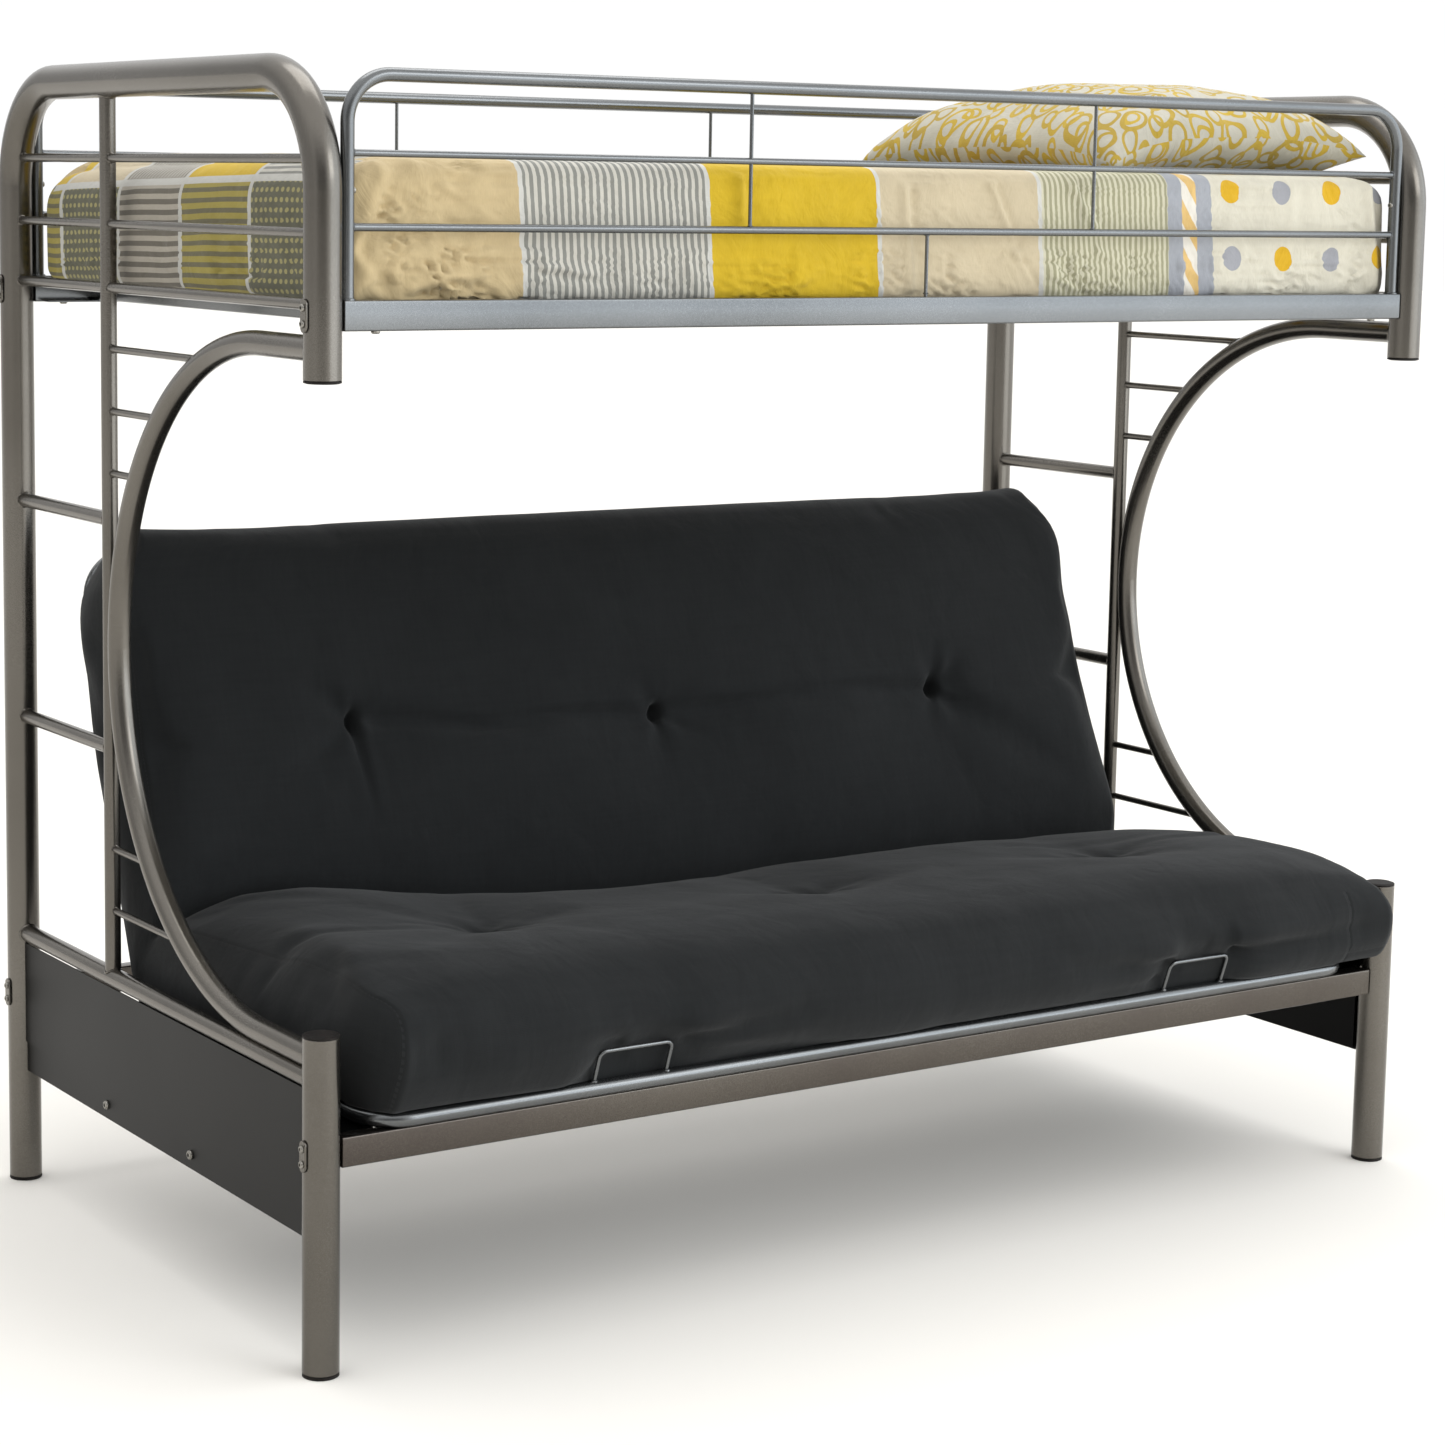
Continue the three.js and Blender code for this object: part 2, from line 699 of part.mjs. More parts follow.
function addHingePins() {
  for (const [side, name] of ends) {
    const inner = seatLugX - lugSheet / 2 - seatGap;
    const outer = seatLugX + lugGap + 1.5 * lugSheet + seatGap;
    const pieces = [straightTube(point(side * inner, 0, 0), point(side * outer, 0, 0), hingePinRadius,
      hingePinSides)];
    for (const face of [inner - hingePinHeadHeight, outer]) {
      pieces.push(straightTube(point(side * face, 0, 0), point(side * (face + hingePinHeadHeight), 0, 0),
        hingePinHeadRadius, hingePinSides));
    }
    place(`hinge_pin_${name}`, joined(pieces), steel, backGroup);
  }
}

addSeatDeck();
addBackDeck();
addHingePins();

// Cushions: two grids and a band of rings between their rims
function crowdedSteps(count, crowding) {
  return Array.from({ length: count + 1 }, (_, i) => {
    const even = (2 * i) / count - 1;
    return THREE.MathUtils.lerp(even, Math.sin((even * Math.PI) / 2), crowding);
  });
}

function rimWalk(columns, rows) {
  const walk = [];
  for (let i = 0; i < columns; i += 1) walk.push([i, 0]);
  for (let j = 0; j < rows; j += 1) walk.push([columns, j]);
  for (let i = columns; i > 0; i -= 1) walk.push([i, rows]);
  for (let j = rows; j > 0; j -= 1) walk.push([0, j]);
  return walk;
}

// rings: how far down the band each ring lies, and how much of the outward bulge it takes, as shares
function cushion({ columns, rows, top, bottom, bulge, ringShares }) {
  const across = crowdedSteps(columns, 0.55);
  const along = crowdedSteps(rows, 0.45);
  const vertices = [];
  const faces = [];
  const gridIndex = (i, j) => j * (columns + 1) + i;
  for (const surface of [top, bottom]) {
    for (const t of along) for (const s of across) vertices.push(surface(s, t));
  }
  const gridSize = (columns + 1) * (rows + 1);
  for (let j = 0; j < rows; j += 1) {
    for (let i = 0; i < columns; i += 1) {
      const [a, b] = [gridIndex(i, j), gridIndex(i + 1, j)];
      const [c, d] = [gridIndex(i + 1, j + 1), gridIndex(i, j + 1)];
      faces.push(a, b, c, a, c, d);
      faces.push(gridSize + a, gridSize + c, gridSize + b, gridSize + a, gridSize + d, gridSize + c);
    }
  }
  const walk = rimWalk(columns, rows);
  const levels = [walk.map(([i, j]) => gridIndex(i, j))];
  for (const [downShare, bulgeShare] of ringShares) {
    levels.push(walk.map(([i, j]) => {
      const upper = vertices[gridIndex(i, j)];
      const lower = vertices[gridSize + gridIndex(i, j)];
      const out = bulge(across[i], along[j]);
      vertices.push(upper.clone().lerp(lower, downShare).addScaledVector(out, bulgeShare));
      return vertices.length - 1;
    }));
  }
  levels.push(walk.map(([i, j]) => gridSize + gridIndex(i, j)));
  for (let level = 0; level < levels.length - 1; level += 1) {
    const [upper, lower] = [levels[level], levels[level + 1]];
    for (let k = 0; k < walk.length; k += 1) {
      const next = (k + 1) % walk.length;
      faces.push(lower[k], lower[next], upper[next], lower[k], upper[next], upper[k]);
    }
  }
  const geometry = new THREE.BufferGeometry().setFromPoints(vertices);
  geometry.setIndex(faces);
  return geometry;
}

// Rounds the corners of a rectangle: moves a point of the square [-1, 1] near a corner onto its arc
function roundedPlan(s, t, halfLength, halfDepth, radius, frontShare = 1, rearShare = 1) {
  const share = t < 0 ? frontShare : rearShare;
  const x = Math.abs(s) * halfLength;
  const y = Math.abs(t) * halfDepth;
  const r = radius * share;
  const a = (x - (halfLength - r)) / r;
  const b = (y - (halfDepth - r)) / r;
  if (share === 0 || a <= 0 || b <= 0) return [Math.sign(s) * x, Math.sign(t) * y];
  const planX = halfLength - r + r * a * Math.sqrt(1 - (b * b) / 2);
  const planY = halfDepth - r + r * b * Math.sqrt(1 - (a * a) / 2);
  return [Math.sign(s) * planX, Math.sign(t) * planY];
}

function tuftDrop(x, y, rowY) {
  let drop = 0;
  for (const index of [-1, 0, 1]) {
    const distance = Math.hypot(x - futonOffset - index * tuftPitch, y - rowY);
    drop += tuftDepth * Math.exp(-((distance / tuftRadius) ** 2));
  }
  return drop;
}

// Outward direction of the rim, stronger near the sides that bulge
function outward(s, t, endBulge, frontBulge, rearBulge) {
  const x = Math.sign(s) * endBulge * Math.abs(s) ** 6;
  const y = t < 0 ? -frontBulge * Math.abs(t) ** 6 : rearBulge * t ** 6;
  return point(x, y, 0);
}

// Drawn in the frame of the hinge line, like the decks
function addSeatPad() {
  const base = deckRadius + seatPadLift;
  const front = { top: seatPadTopFrontY - hingeY, bottom: seatPadBottomFrontY - hingeY };
  const rear = { top: seatPadCreaseY - hingeY, bottom: seatPadRearY - hingeY };
  const run = (key, planY, halfDepth) => THREE.MathUtils.mapLinear(planY, -halfDepth, halfDepth,
    front[key], rear[key]);
  const halfDepth = { top: (rear.top - front.top) / 2, bottom: (rear.bottom - front.bottom) / 2 };
  const crownAt = (share) => 1 - seatPadFallShare * (share - seatPadPeakShare) ** 2;
  const top = (s, t) => {
    const [x, planY] = roundedPlan(s, t, seatPadHalfLength, halfDepth.top, seatPadCornerRadius, 1, 0);
    const y = run('top', planY, halfDepth.top);
    const share = (y - front.top) / (rear.top - front.top);
    const endFall = 1 - 0.09 * Math.abs(s) ** 8 - 0.05 * Math.max(-t, 0) ** 8;
    const height = seatPadHeight * crownAt(share) * endFall;
    return point(x, y, base + height - tuftDrop(x, y, (front.top + rear.top) / 2));
  };
  const bottom = (s, t) => {
    const [x, planY] = roundedPlan(s, t, seatPadHalfLength, halfDepth.bottom, seatPadCornerRadius, 1, 0);
    return point(x, run('bottom', planY, halfDepth.bottom), base);
  };
  const middleFront = THREE.MathUtils.lerp(front.top, front.bottom, 0.4);
  const frontBulge = middleFront + hingeY + seatPadFrontReach;
  const bulge = (s, t) => outward(s, t, seatPadEndBulge, frontBulge, 0);
  const ringShares = [[0.13, 0.62], [0.4, 1], [0.72, 0.3]];
  place('seat_pad', cushion({ columns: 28, rows: 11, top, bottom, bulge, ringShares }),
    charcoalFabric, seatGroup);
}

function addBackPad() {
  const rearFace = deckRadius + seatPadLift;
  const frontFace = rearFace + backPadThickness;
  const rimTop = backPadTop - backPadTopInset;
  const heel = { top: backPadHeelFront, bottom: backPadHeelRear };
  const surface = (key) => (s, t) => {
    const halfDepth = (rimTop - heel[key]) / 2;
    const [x, planY] = roundedPlan(s, t, backPadHalfLength, halfDepth, backPadCornerRadius, 0, 1);
    return [x, planY + (rimTop + heel[key]) / 2];
  };
  const top = (s, t) => {
    const [x, y] = surface('top')(s, t);
    const crown = backPadCrown * (1 - s ** 8) * (1 - t ** 4) - backPadCrown * Math.max(t, 0) ** 6;
    return point(x, y, frontFace + crown - tuftDrop(x, y, (rimTop + heel.top) / 2));
  };
  const bottom = (s, t) => {
    const [x, y] = surface('bottom')(s, t);
    return point(x, y, rearFace);
  };
  const bulge = (s, t) => outward(s, t, backPadEndBulge, 0, backPadTopInset);
  const ringShares = [[0.2, 0.72], [0.5, 1], [0.8, 0.72]];
  place('back_pad', cushion({ columns: 28, rows: 11, top, bottom, bulge, ringShares }),
    charcoalFabric, backGroup);
}

function addMattress() {
  const group = new THREE.Group();
  group.position.z = mattressBottom;
  model.add(group);
  const plan = (s, t) => roundedPlan(s, t, mattressHalfLength, mattressHalfDepth, mattressCornerRadius);
  const rimZ = mattressHeight - mattressCrown;
  const top = (s, t) => {
    const [x, y] = plan(s, t);
    return point(x, y, rimZ + mattressCrown * (1 - s ** 8) * (1 - t ** 6));
  };
  const bottom = (s, t) => {
    const [x, y] = plan(s, t);
    return point(x, y, 0);
  };
  const bulge = (s, t) => outward(s, t, mattressBulge, mattressBulge, mattressBulge);
  const ringShares = [[0.08, 0.7], [0.5, 1], [0.92, 0.7]];
  place('upper_mattress', cushion({ columns: 18, rows: 8, top, bottom, bulge, ringShares }), bedding, group);
}

function addPillow() {
  const group = new THREE.Group();
  group.position.set(pillowX, pillowY, mattressBottom + mattressHeight + seatGap);
  model.add(group);
  const seamZ = pillowHeight * pillowSeamShare;
  const plan = (s, t) => {
    const drawnX = 1 - pillowSideDrawShare * (1 - t ** 2);
    const drawnY = 1 - pillowSideDrawShare * (1 - s ** 2);
    return [s * pillowHalfLength * drawnX, t * pillowHalfDepth * drawnY];
  };
  const puff = (s, t) => (Math.max(1 - s ** 4, 0) * Math.max(1 - t ** 4, 0)) ** 0.5;
  const rim = pillowHeight * pillowFlatShare;
  const top = (s, t) => {
    const [x, y] = plan(s, t);
    return point(x, y, seamZ + rim / 2 + (pillowHeight - seamZ - rim / 2) * puff(s, t));
  };
  const bottom = (s, t) => {
    const [x, y] = plan(s, t);
    return point(x, y, (seamZ - rim / 2) * (1 - Math.min(puff(s, t) * 1.5, 1)));
  };
  const bulge = (s, t) => outward(s, t, rim / 4, rim / 4, rim / 4);
  place('pillow', cushion({ columns: 12, rows: 12, top, bottom, bulge, ringShares: [[0.5, 1]] }),
    pillowCloth, group);
}

addSeatPad();
addBackPad();
addMattress();
addPillow();

export default model;
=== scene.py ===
import math
from functools import partialmethod

import bmesh
import bpy
import numpy as np
from mathutils import Matrix, Vector, noise


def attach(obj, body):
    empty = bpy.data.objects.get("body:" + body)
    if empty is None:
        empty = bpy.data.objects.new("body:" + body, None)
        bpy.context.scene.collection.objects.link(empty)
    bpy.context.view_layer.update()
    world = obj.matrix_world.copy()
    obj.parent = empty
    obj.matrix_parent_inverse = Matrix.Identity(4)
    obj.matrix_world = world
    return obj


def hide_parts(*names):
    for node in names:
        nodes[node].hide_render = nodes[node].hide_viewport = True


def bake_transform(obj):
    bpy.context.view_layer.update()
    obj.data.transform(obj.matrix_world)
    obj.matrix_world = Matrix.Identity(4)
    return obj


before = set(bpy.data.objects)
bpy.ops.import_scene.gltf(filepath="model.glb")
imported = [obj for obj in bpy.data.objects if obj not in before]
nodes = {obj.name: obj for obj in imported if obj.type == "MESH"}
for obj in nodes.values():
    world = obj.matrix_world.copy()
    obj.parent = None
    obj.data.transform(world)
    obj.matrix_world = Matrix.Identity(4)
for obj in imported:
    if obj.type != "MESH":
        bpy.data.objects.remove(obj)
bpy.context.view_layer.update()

# Sizes in metres. Y is counted from midway between the posts, and SHIFT brings it to the origin.
SHIFT = 0.0168
POST_X, POST_Y, POST_R = 0.978, 0.513, 0.0254
HOOP_Z, HOOP_BEND = 1.7296, 0.155
UPPER_END, LOWER_END, CAP, FOOT = 1.330, 0.470, 0.0035, 0.0043
ARC_TOP, ARC_LOW, ARC_R, ARC_BACK = 1.374, 0.4338, 0.017, 0.134
ARC_BEND = (ARC_TOP - ARC_LOW) / 2
ARC_MID_Y, ARC_MID_Z = ARC_BACK - ARC_BEND, (ARC_TOP + ARC_LOW) / 2
LADDER_Y, LADDER_R, STEP_R, RUNG_R = 0.1633, 0.012, 0.011, 0.0055
PANEL_TUBE_Z, PANEL_TUBE_R = 0.4025, 0.014
END_BARS = {"bottom": (1.431, 0.008), "middle": (1.523, 0.0065), "top": (1.618, 0.0065)}
STEPS = (0.7512, 1.0916)
SHORT_RUNGS = (0.505, 0.599, 1.160, 1.251, 1.342)
RAIL_TOP, RAIL_H, RAIL_T, RAIL_X = 1.4375, 0.040, 0.025, 0.9523
BEAM_TOP, BEAM_H = 0.327, 0.042
GUARD_TOP, GUARD_R, GUARD_X, GUARD_BEND = 1.727, 0.00925, 0.94285, 0.062
GUARD_BARS = ((1.62597, 0.00475), (1.53101, 0.0055))
GUARD_ROD_X = 0.31208
GUARD_BOLT_Z, ROD_R, RAIL_BOLT_X = 1.578, 0.0028, 0.901
SLAT_SPAN, SLAT_LOW, SLAT_H, SLAT_W = 1.680, 1.4008, 0.030, 0.040
DECK_X, DECK_R, DECK_ROD_R, DECK_RODS = 0.904, 0.011, 0.0035, 17
LOOP_X, LOOP_W, LOOP_H, LOOP_R = (-0.498, 0.558), 0.06, 0.057, 0.003
SLIDE_BOLT_X, SLIDE_BOLT_Z, SLIDE_BOLT_YS = 0.9837, 0.202, (0.177, -0.119)
HINGE_Y, HINGE_Z = 0.186, 0.3383
HINGE = Vector((0.0, HINGE_Y + SHIFT, HINGE_Z))
LEAN = math.radians(69.5)
LEAN_COS, LEAN_SIN = 0.3502, 0.9367
BED_LOW, BED_X, BED_Y, BED_H = 1.4311, 0.949, 0.493, 0.193
BED_REACH_X, BED_REACH_Y, POST_CLEAR = 0.9640, 0.4985, 0.0268
SIDES = (("left", -1), ("right", 1))


def at(x, y, z):
    return Vector((x, y + SHIFT, z))


def srgb(text):
    values = [int(text[i:i + 2], 16) / 255 for i in (0, 2, 4)]
    return tuple(v / 12.92 if v <= 0.04045 else ((v + 0.055) / 1.055) ** 2.4 for v in values) + (1.0,)


# Shader trees
class Tree:
    def __init__(self, nt):
        self.nt = nt

    def feed(self, socket, value):
        if isinstance(value, bpy.types.NodeSocket):
            self.nt.links.new(value, socket)
        else:
            socket.default_value = value

    def node(self, kind, inputs=None, **props):
        made = self.nt.nodes.new(kind)
        for key, value in props.items():
            setattr(made, key, value)
        for key, value in (inputs or {}).items():
            self.feed(made.inputs[key], value)
        return made

    def math(self, operation, a, b=0.0, c=0.0):
        made = self.node("ShaderNodeMath", operation=operation)
        for socket, value in zip(made.inputs, (a, b, c)):
            self.feed(socket, value)
        return made.outputs[0]

    def mix(self, share, a, b, blend="MIX"):
        made = self.node("ShaderNodeMix", data_type="RGBA", blend_type=blend)
        for index, value in ((0, share), (6, a), (7, b)):
            self.feed(made.inputs[index], value)
        return made.outputs[2]

    def vector(self, operation, a, b):
        """A vector sum. For SCALE, b is the factor."""
        second = "Scale" if operation == "SCALE" else 1
        return self.node("ShaderNodeVectorMath", {0: a, second: b}, operation=operation).outputs[0]

    def place(self):
        return self.node("ShaderNodeTexCoord").outputs["Object"]

    def cloth(self):
        return self.node("ShaderNodeUVMap", uv_map="cloth").outputs[0]

    def split(self, vector):
        return self.node("ShaderNodeSeparateXYZ", {0: vector}).outputs

    def mapped(self, source, scale):
        return self.node("ShaderNodeMapping", {"Vector": source, "Scale": scale}).outputs[0]

    def noise(self, vector, scale, detail=2.0, rough=0.5, warp=0.0, out="Fac"):
        made = self.node("ShaderNodeTexNoise", {"Vector": vector, "Scale": scale, "Detail": detail,
                                                "Roughness": rough, "Distortion": warp})
        return made.outputs[out]

    def streaks(self, uv, scale, *rest):
        """Noise at a scale of its own along each axis."""
        return self.noise(self.mapped(uv, scale), 1.0, *rest)

    def ramp(self, share, *stops):
        made = self.node("ShaderNodeValToRGB", {"Fac": share})
        points = made.color_ramp.elements
        while len(points) < len(stops):
            points.new(0.5)
        for point, (place, color) in zip(points, stops):
            point.position = place
            point.color = color if isinstance(color, tuple) else (color, color, color, 1)
        return made.outputs[0]

    def bump(self, height, strength, distance, below=None):
        inputs = {"Height": height, "Strength": strength, "Distance": distance}
        if below is not None:
            inputs["Normal"] = below
        return self.node("ShaderNodeBump", inputs).outputs[0]


for word in ("add", "subtract", "multiply", "divide", "multiply_add", "maximum", "modulo", "arctan2",
             "less_than", "greater_than", "absolute", "fract", "floor", "sqrt"):
    setattr(Tree, word, partialmethod(Tree.math, word.upper()))


class Finish(Tree):
    """The tree of one material, which names its slot."""
    def __init__(self, name, slot):
        self.mat = bpy.data.materials.new(name)
        self.mat.use_nodes = True
        self.mat["finish"] = slot
        super().__init__(self.mat.node_tree)
        self.bsdf = self.nt.nodes["Principled BSDF"]

    def surface(self, **values):
        for key, value in values.items():
            self.feed(self.bsdf.inputs[key.replace("_", " ")], value)
        return self.mat


def painted(name, slot, light, dark, speck, roughness=0.23, coat=0.16):
    t = Finish(name, slot)
    place = t.place()
    cloud = t.noise(place, 3.1, 3)
    fine = t.noise(place, 1100, 1)
    peel = t.noise(place, 55, 2)
    color = t.mix(t.ramp(cloud, (0.3, 0.0), (0.7, 1.0)), srgb(dark), srgb(light))
    color = t.mix(t.ramp(fine, (0.45, 0.0), (0.75, 0.35)), color, srgb(speck))
    rough = t.multiply_add(cloud, 0.10, roughness - 0.05)
    rough = t.multiply_add(fine, 0.06, rough)
    normal = t.bump(t.multiply_add(peel, 3.0, fine), 0.05, 0.00012)
    return t.surface(Base_Color=color, Roughness=rough, Metallic=0.94, Normal=normal,
                     Coat_Weight=coat, Coat_Roughness=0.12)


def plain_steel(name, slot):
    t = Finish(name, slot)
    place = t.place()
    spots = t.noise(place, 160, 3, 0.6)
    color = t.mix(t.ramp(spots, (0.35, 0.0), (0.65, 1.0)), srgb("77756f"), srgb("9c9993"))
    return t.surface(Base_Color=color, Roughness=t.multiply_add(spots, 0.2, 0.18), Metallic=1.0,
                     Normal=t.bump(t.noise(place, 700, 2), 0.08, 0.0004))


def moulded_plastic(name, slot):
    t = Finish(name, slot)
    place = t.place()
    grain = t.noise(place, 1400, 2)
    wear = t.noise(place, 60, 4)
    color = t.mix(t.ramp(wear, (0.4, 0.0), (0.8, 1.0)), srgb("120f0d"), srgb("221d1a"))
    return t.surface(Base_Color=color, Roughness=t.multiply_add(wear, 0.2, 0.50),
                     Normal=t.bump(grain, 0.25, 0.0003), Specular_IOR_Level=0.2)


def weave(t, uv, threads, strength, below=None):
    """Bump of crossing threads, with slubs, at this many threads per metre."""
    wave = {"Vector": uv, "Scale": threads / 6.28, "Distortion": 0.6, "Detail": 1.0}
    across, along = (t.node("ShaderNodeTexWave", wave, wave_type="BANDS", bands_direction=way).outputs["Fac"]
                     for way in "XY")
    slub = t.streaks(uv, (900, 60, 1), 2)
    height = t.add(t.multiply(across, along), slub)
    return t.bump(height, strength, 0.0005, below)


def seam(t, across, run, low, high):
    """A sewn line where `across` is zero, for run from low to high: its groove, which also sets where shade
    is painted, and its thread.
    """
    off = t.absolute(across)
    inside = t.multiply(t.greater_than(run, low), t.less_than(run, high))
    fall = {"Value": off, "From Min": 0.0, "From Max": 0.006, "To Min": 1.0, "To Max": 0.0}
    groove = t.multiply(t.node("ShaderNodeMapRange", fall).outputs[0], inside)
    dash = t.less_than(t.fract(t.divide(run, 0.0065)), 0.62)
    return groove, t.multiply(t.multiply(t.less_than(off, 0.0009), dash), inside)


def futon_cloth(name, slot):
    t = Finish(name, slot)
    uv = t.cloth()
    x, y, _ = t.split(uv)
    cloud = t.noise(uv, 4.0, 4, 0.6)
    slubs = t.add(*(t.streaks(uv, way, 3) for way in ((160, 9, 1), (9, 160, 1))))
    share = t.multiply_add(slubs, 0.25, t.multiply(cloud, 0.5))
    color = t.mix(t.ramp(share, (0.3, 0.0), (0.75, 1.0)), srgb("121415"), srgb("1c1e1f"))
    seam_grooves_and_shade, threads = 0.0, 0.0
    edge = t.subtract(t.absolute(x), 0.9310)
    lines = ((t.subtract(x, 0.868), y, -0.135, -0.012), (t.add(y, 0.078), x, 0.868, 1.0),
             (edge, y, -0.2, 2.0))
    for across, run, low, high in lines:
        groove, thread = seam(t, across, run, low, high)
        seam_grooves_and_shade = t.maximum(seam_grooves_and_shade, groove)
        threads = t.maximum(threads, thread)
    # painted shade: the colour darkens along the seam grooves
    color = t.mix(t.multiply(seam_grooves_and_shade, 0.35), color, srgb("0c0d0d"))
    color = t.mix(t.multiply(threads, 0.25), color, srgb("303233"))
    puckers = t.multiply(t.streaks(uv, (70, 70, 1), 2), t.multiply(seam_grooves_and_shade, 0.5))
    creases = t.multiply(t.streaks(uv, (22, 14, 1), 4, 0.55, 0.8), 0.35)
    rumple = t.bump(t.add(t.noise(uv, 9.0, 3, 0.5, 0.6), creases), 0.30, 0.012)
    sewn = t.bump(t.subtract(puckers, seam_grooves_and_shade), 0.45, 0.003, rumple)
    return t.surface(Base_Color=color, Roughness=0.88, Normal=weave(t, uv, 1500, 0.25, sewn),
                     Sheen_Weight=0.08, Sheen_Roughness=0.5, Specular_IOR_Level=0.18)


def bed_cloth(name, pattern):
    """Printed cotton. The pattern gives the colour from the cloth's own flat coordinates."""
    t = Finish(name, "patchwork_fabric")
    uv = t.cloth()
    wander = t.vector("SUBTRACT", t.noise(uv, 7.0, 1.0, out="Color"), (0.5, 0.5, 0.5))
    drawn = t.vector("ADD", uv, t.vector("SCALE", wander, 0.006))
    x, y, _ = t.split(drawn)
    color = pattern(t, drawn, x, y)
    fade = t.ramp(t.noise(uv, 14, 4, 0.6), (0.3, 0.90), (0.7, 1.0))
    threads = t.ramp(t.streaks(uv, (700, 90, 1), 2), (0.3, 0.93), (0.7, 1.0))
    color = t.mix(1.0, color, t.mix(1.0, fade, threads, "MULTIPLY"), "MULTIPLY")
    rumple = t.bump(t.streaks(uv, (13, 9, 1), 5, 0.52, 1.3), 0.60, 0.012)
    return t.surface(Base_Color=color, Roughness=0.85, Normal=weave(t, uv, 1300, 0.18, rumple),
                     Sheen_Weight=0.12, Sheen_Roughness=0.5, Specular_IOR_Level=0.2)


def plain_print(color):
    return lambda t, uv, x, y: t.mix(0.0, srgb(color), srgb(color))


def stripes(ground, line, pitch, share, along="x"):
    def pattern(t, uv, x, y):
        phase = t.fract(t.divide(x if along == "x" else y, pitch))
        return t.mix(t.less_than(phase, share), srgb(ground), srgb(line))
    return pattern


def spots(ground, first, second, pitch_x, pitch_y, radius, offset_x=0.0, offset_y=0.0, stretch=1.0):
    def pattern(t, uv, x, y):
        a = t.divide(t.subtract(x, offset_x), pitch_x)
        b = t.divide(t.subtract(y, offset_y), pitch_y)
        da = t.multiply(t.subtract(t.fract(a), 0.5), pitch_x)
        db = t.multiply(t.subtract(t.fract(b), 0.5), pitch_y * stretch)
        far = t.sqrt(t.add(t.multiply(da, da), t.multiply(db, db)))
        cell = t.add(t.floor(a), t.floor(b))
        odd = t.greater_than(t.absolute(t.modulo(cell, 2.0)), 0.5)
        return t.mix(t.less_than(far, radius), srgb(ground), t.mix(odd, srgb(first), srgb(second)))
    return pattern


def diagonal(ground, line, pitch, share):
    def pattern(t, uv, x, y):
        phase = t.fract(t.divide(t.add(t.multiply(x, 1.6), y), pitch))
        return t.mix(t.less_than(phase, share), srgb(ground), srgb(line))
    return pattern


def rings(t, uv, x, y):
    """Closed yellow rings of several sizes, each inside its own cell, in two layers."""
    spread = 0.10
    place = t.vector("ADD", uv, t.vector("SCALE", t.noise(uv, 16.0, 0.0, out="Color"), 0.030))
    color = t.mix(0.0, srgb("b3afa1"), srgb("b3afa1"))
    for scale, radius, thick, turn in ((22.0, 0.25, 0.070, 0.7), (15.0, 0.28, 0.055, 0.2)):
        moved = t.node("ShaderNodeMapping", {"Vector": place, "Location": (turn, turn * 0.6, 0),
                                             "Rotation": (0, 0, turn)}).outputs[0]
        cell = t.node("ShaderNodeTexVoronoi", {"Vector": moved, "Scale": scale, "Randomness": 0.24},
                      voronoi_dimensions="2D")
        width, tone, _ = t.split(cell.outputs["Color"])
        size = t.multiply_add(width, spread, radius)
        off = t.absolute(t.subtract(cell.outputs["Distance"], size))
        ink = t.mix(tone, srgb("b69a34"), srgb("a38a35"))
        color = t.mix(t.less_than(off, thick), color, ink)
    return color


silver = painted("silver paint", "silver_paint", "696b6c", "5a5c5d", "8b8d8e")
# painted reflection: a warm-tinted copy of the silver paint for the end frames, standing in for the warmer
# light they reflect
silver_warm_tinted_ends = painted("silver paint on the end frames", "silver_paint", "69655f", "5a5650", "8c8983")
# painted shade: a darker copy of the silver paint for the lower beams, which sit low in shade
silver_shaded_low = painted("silver paint darkened as painted shade for the lower beams", "silver_paint", "524d47", "453f3b", "77726b")
gunmetal = painted("gunmetal paint", "gunmetal_paint", "121212", "0d0d0d", "20201f", 0.38, 0.0)
zinc = plain_steel("zinc plated steel", "zinc_steel")
black = moulded_plastic("black plastic", "black_plastic")
charcoal = futon_cloth("charcoal cover", "charcoal_fabric")
pillow_print = bed_cloth("ringed cotton", rings)
pillow_print["finish"] = "pillow_fabric"
PRINTS = {
    "khaki": plain_print("c0ac84"),
    "beige": plain_print("c4b699"),
    "white": plain_print("c7c6c0"),
    "yellow": plain_print("c8a825"),
    "grey_lines": stripes("c2bfb5", "868680", 0.0116, 0.52),
    "olive_lines": stripes("c6c2aa", "9b987c", 0.0104, 0.50),
    "blue_grey": plain_print("9da0a6"),
    "diagonals": diagonal("dcd7cc", "d6b474", 0.075, 0.5),
    "dots": spots("cfcab9", "cfa420", "9a9ba0", 0.1094, 0.105, 0.0195, 0.5487, -0.5832),
    "grey_bars": stripes("b0a99c", "706b61", 0.0150, 0.5),
    "olive_bars": stripes("a4974e", "706b53", 0.0150, 0.45),
    "dashes": spots("666555", "a29b6b", "a29b6b", 0.0135, 0.0150, 0.0034, 0, 0, 0.75),
    "fine_grey": stripes("bbb6aa", "7b7871", 0.0105, 0.5, "y"),
}
prints = {key: bed_cloth(f"print {key}", pattern) for key, pattern in PRINTS.items()}


# Mesh code
def placed(name, data):
    obj = bpy.data.objects.new(name, data)
    bpy.context.scene.collection.objects.link(obj)
    return obj


def mesh_object(name, verts, faces, materials, slots=None, uvs=None):
    mesh = bpy.data.meshes.new(name)
    mesh.from_pydata([tuple(v) for v in verts], [], faces)
    for material in materials:
        mesh.materials.append(material)
    if slots is not None:
        mesh.polygons.foreach_set("material_index", slots)
    if uvs is not None:
        layer = mesh.uv_layers.new(name="cloth")
        layer.data.foreach_set("uv", [c for face in uvs for pair in face for c in pair])
    mesh.shade_smooth()
    return placed(name, mesh)


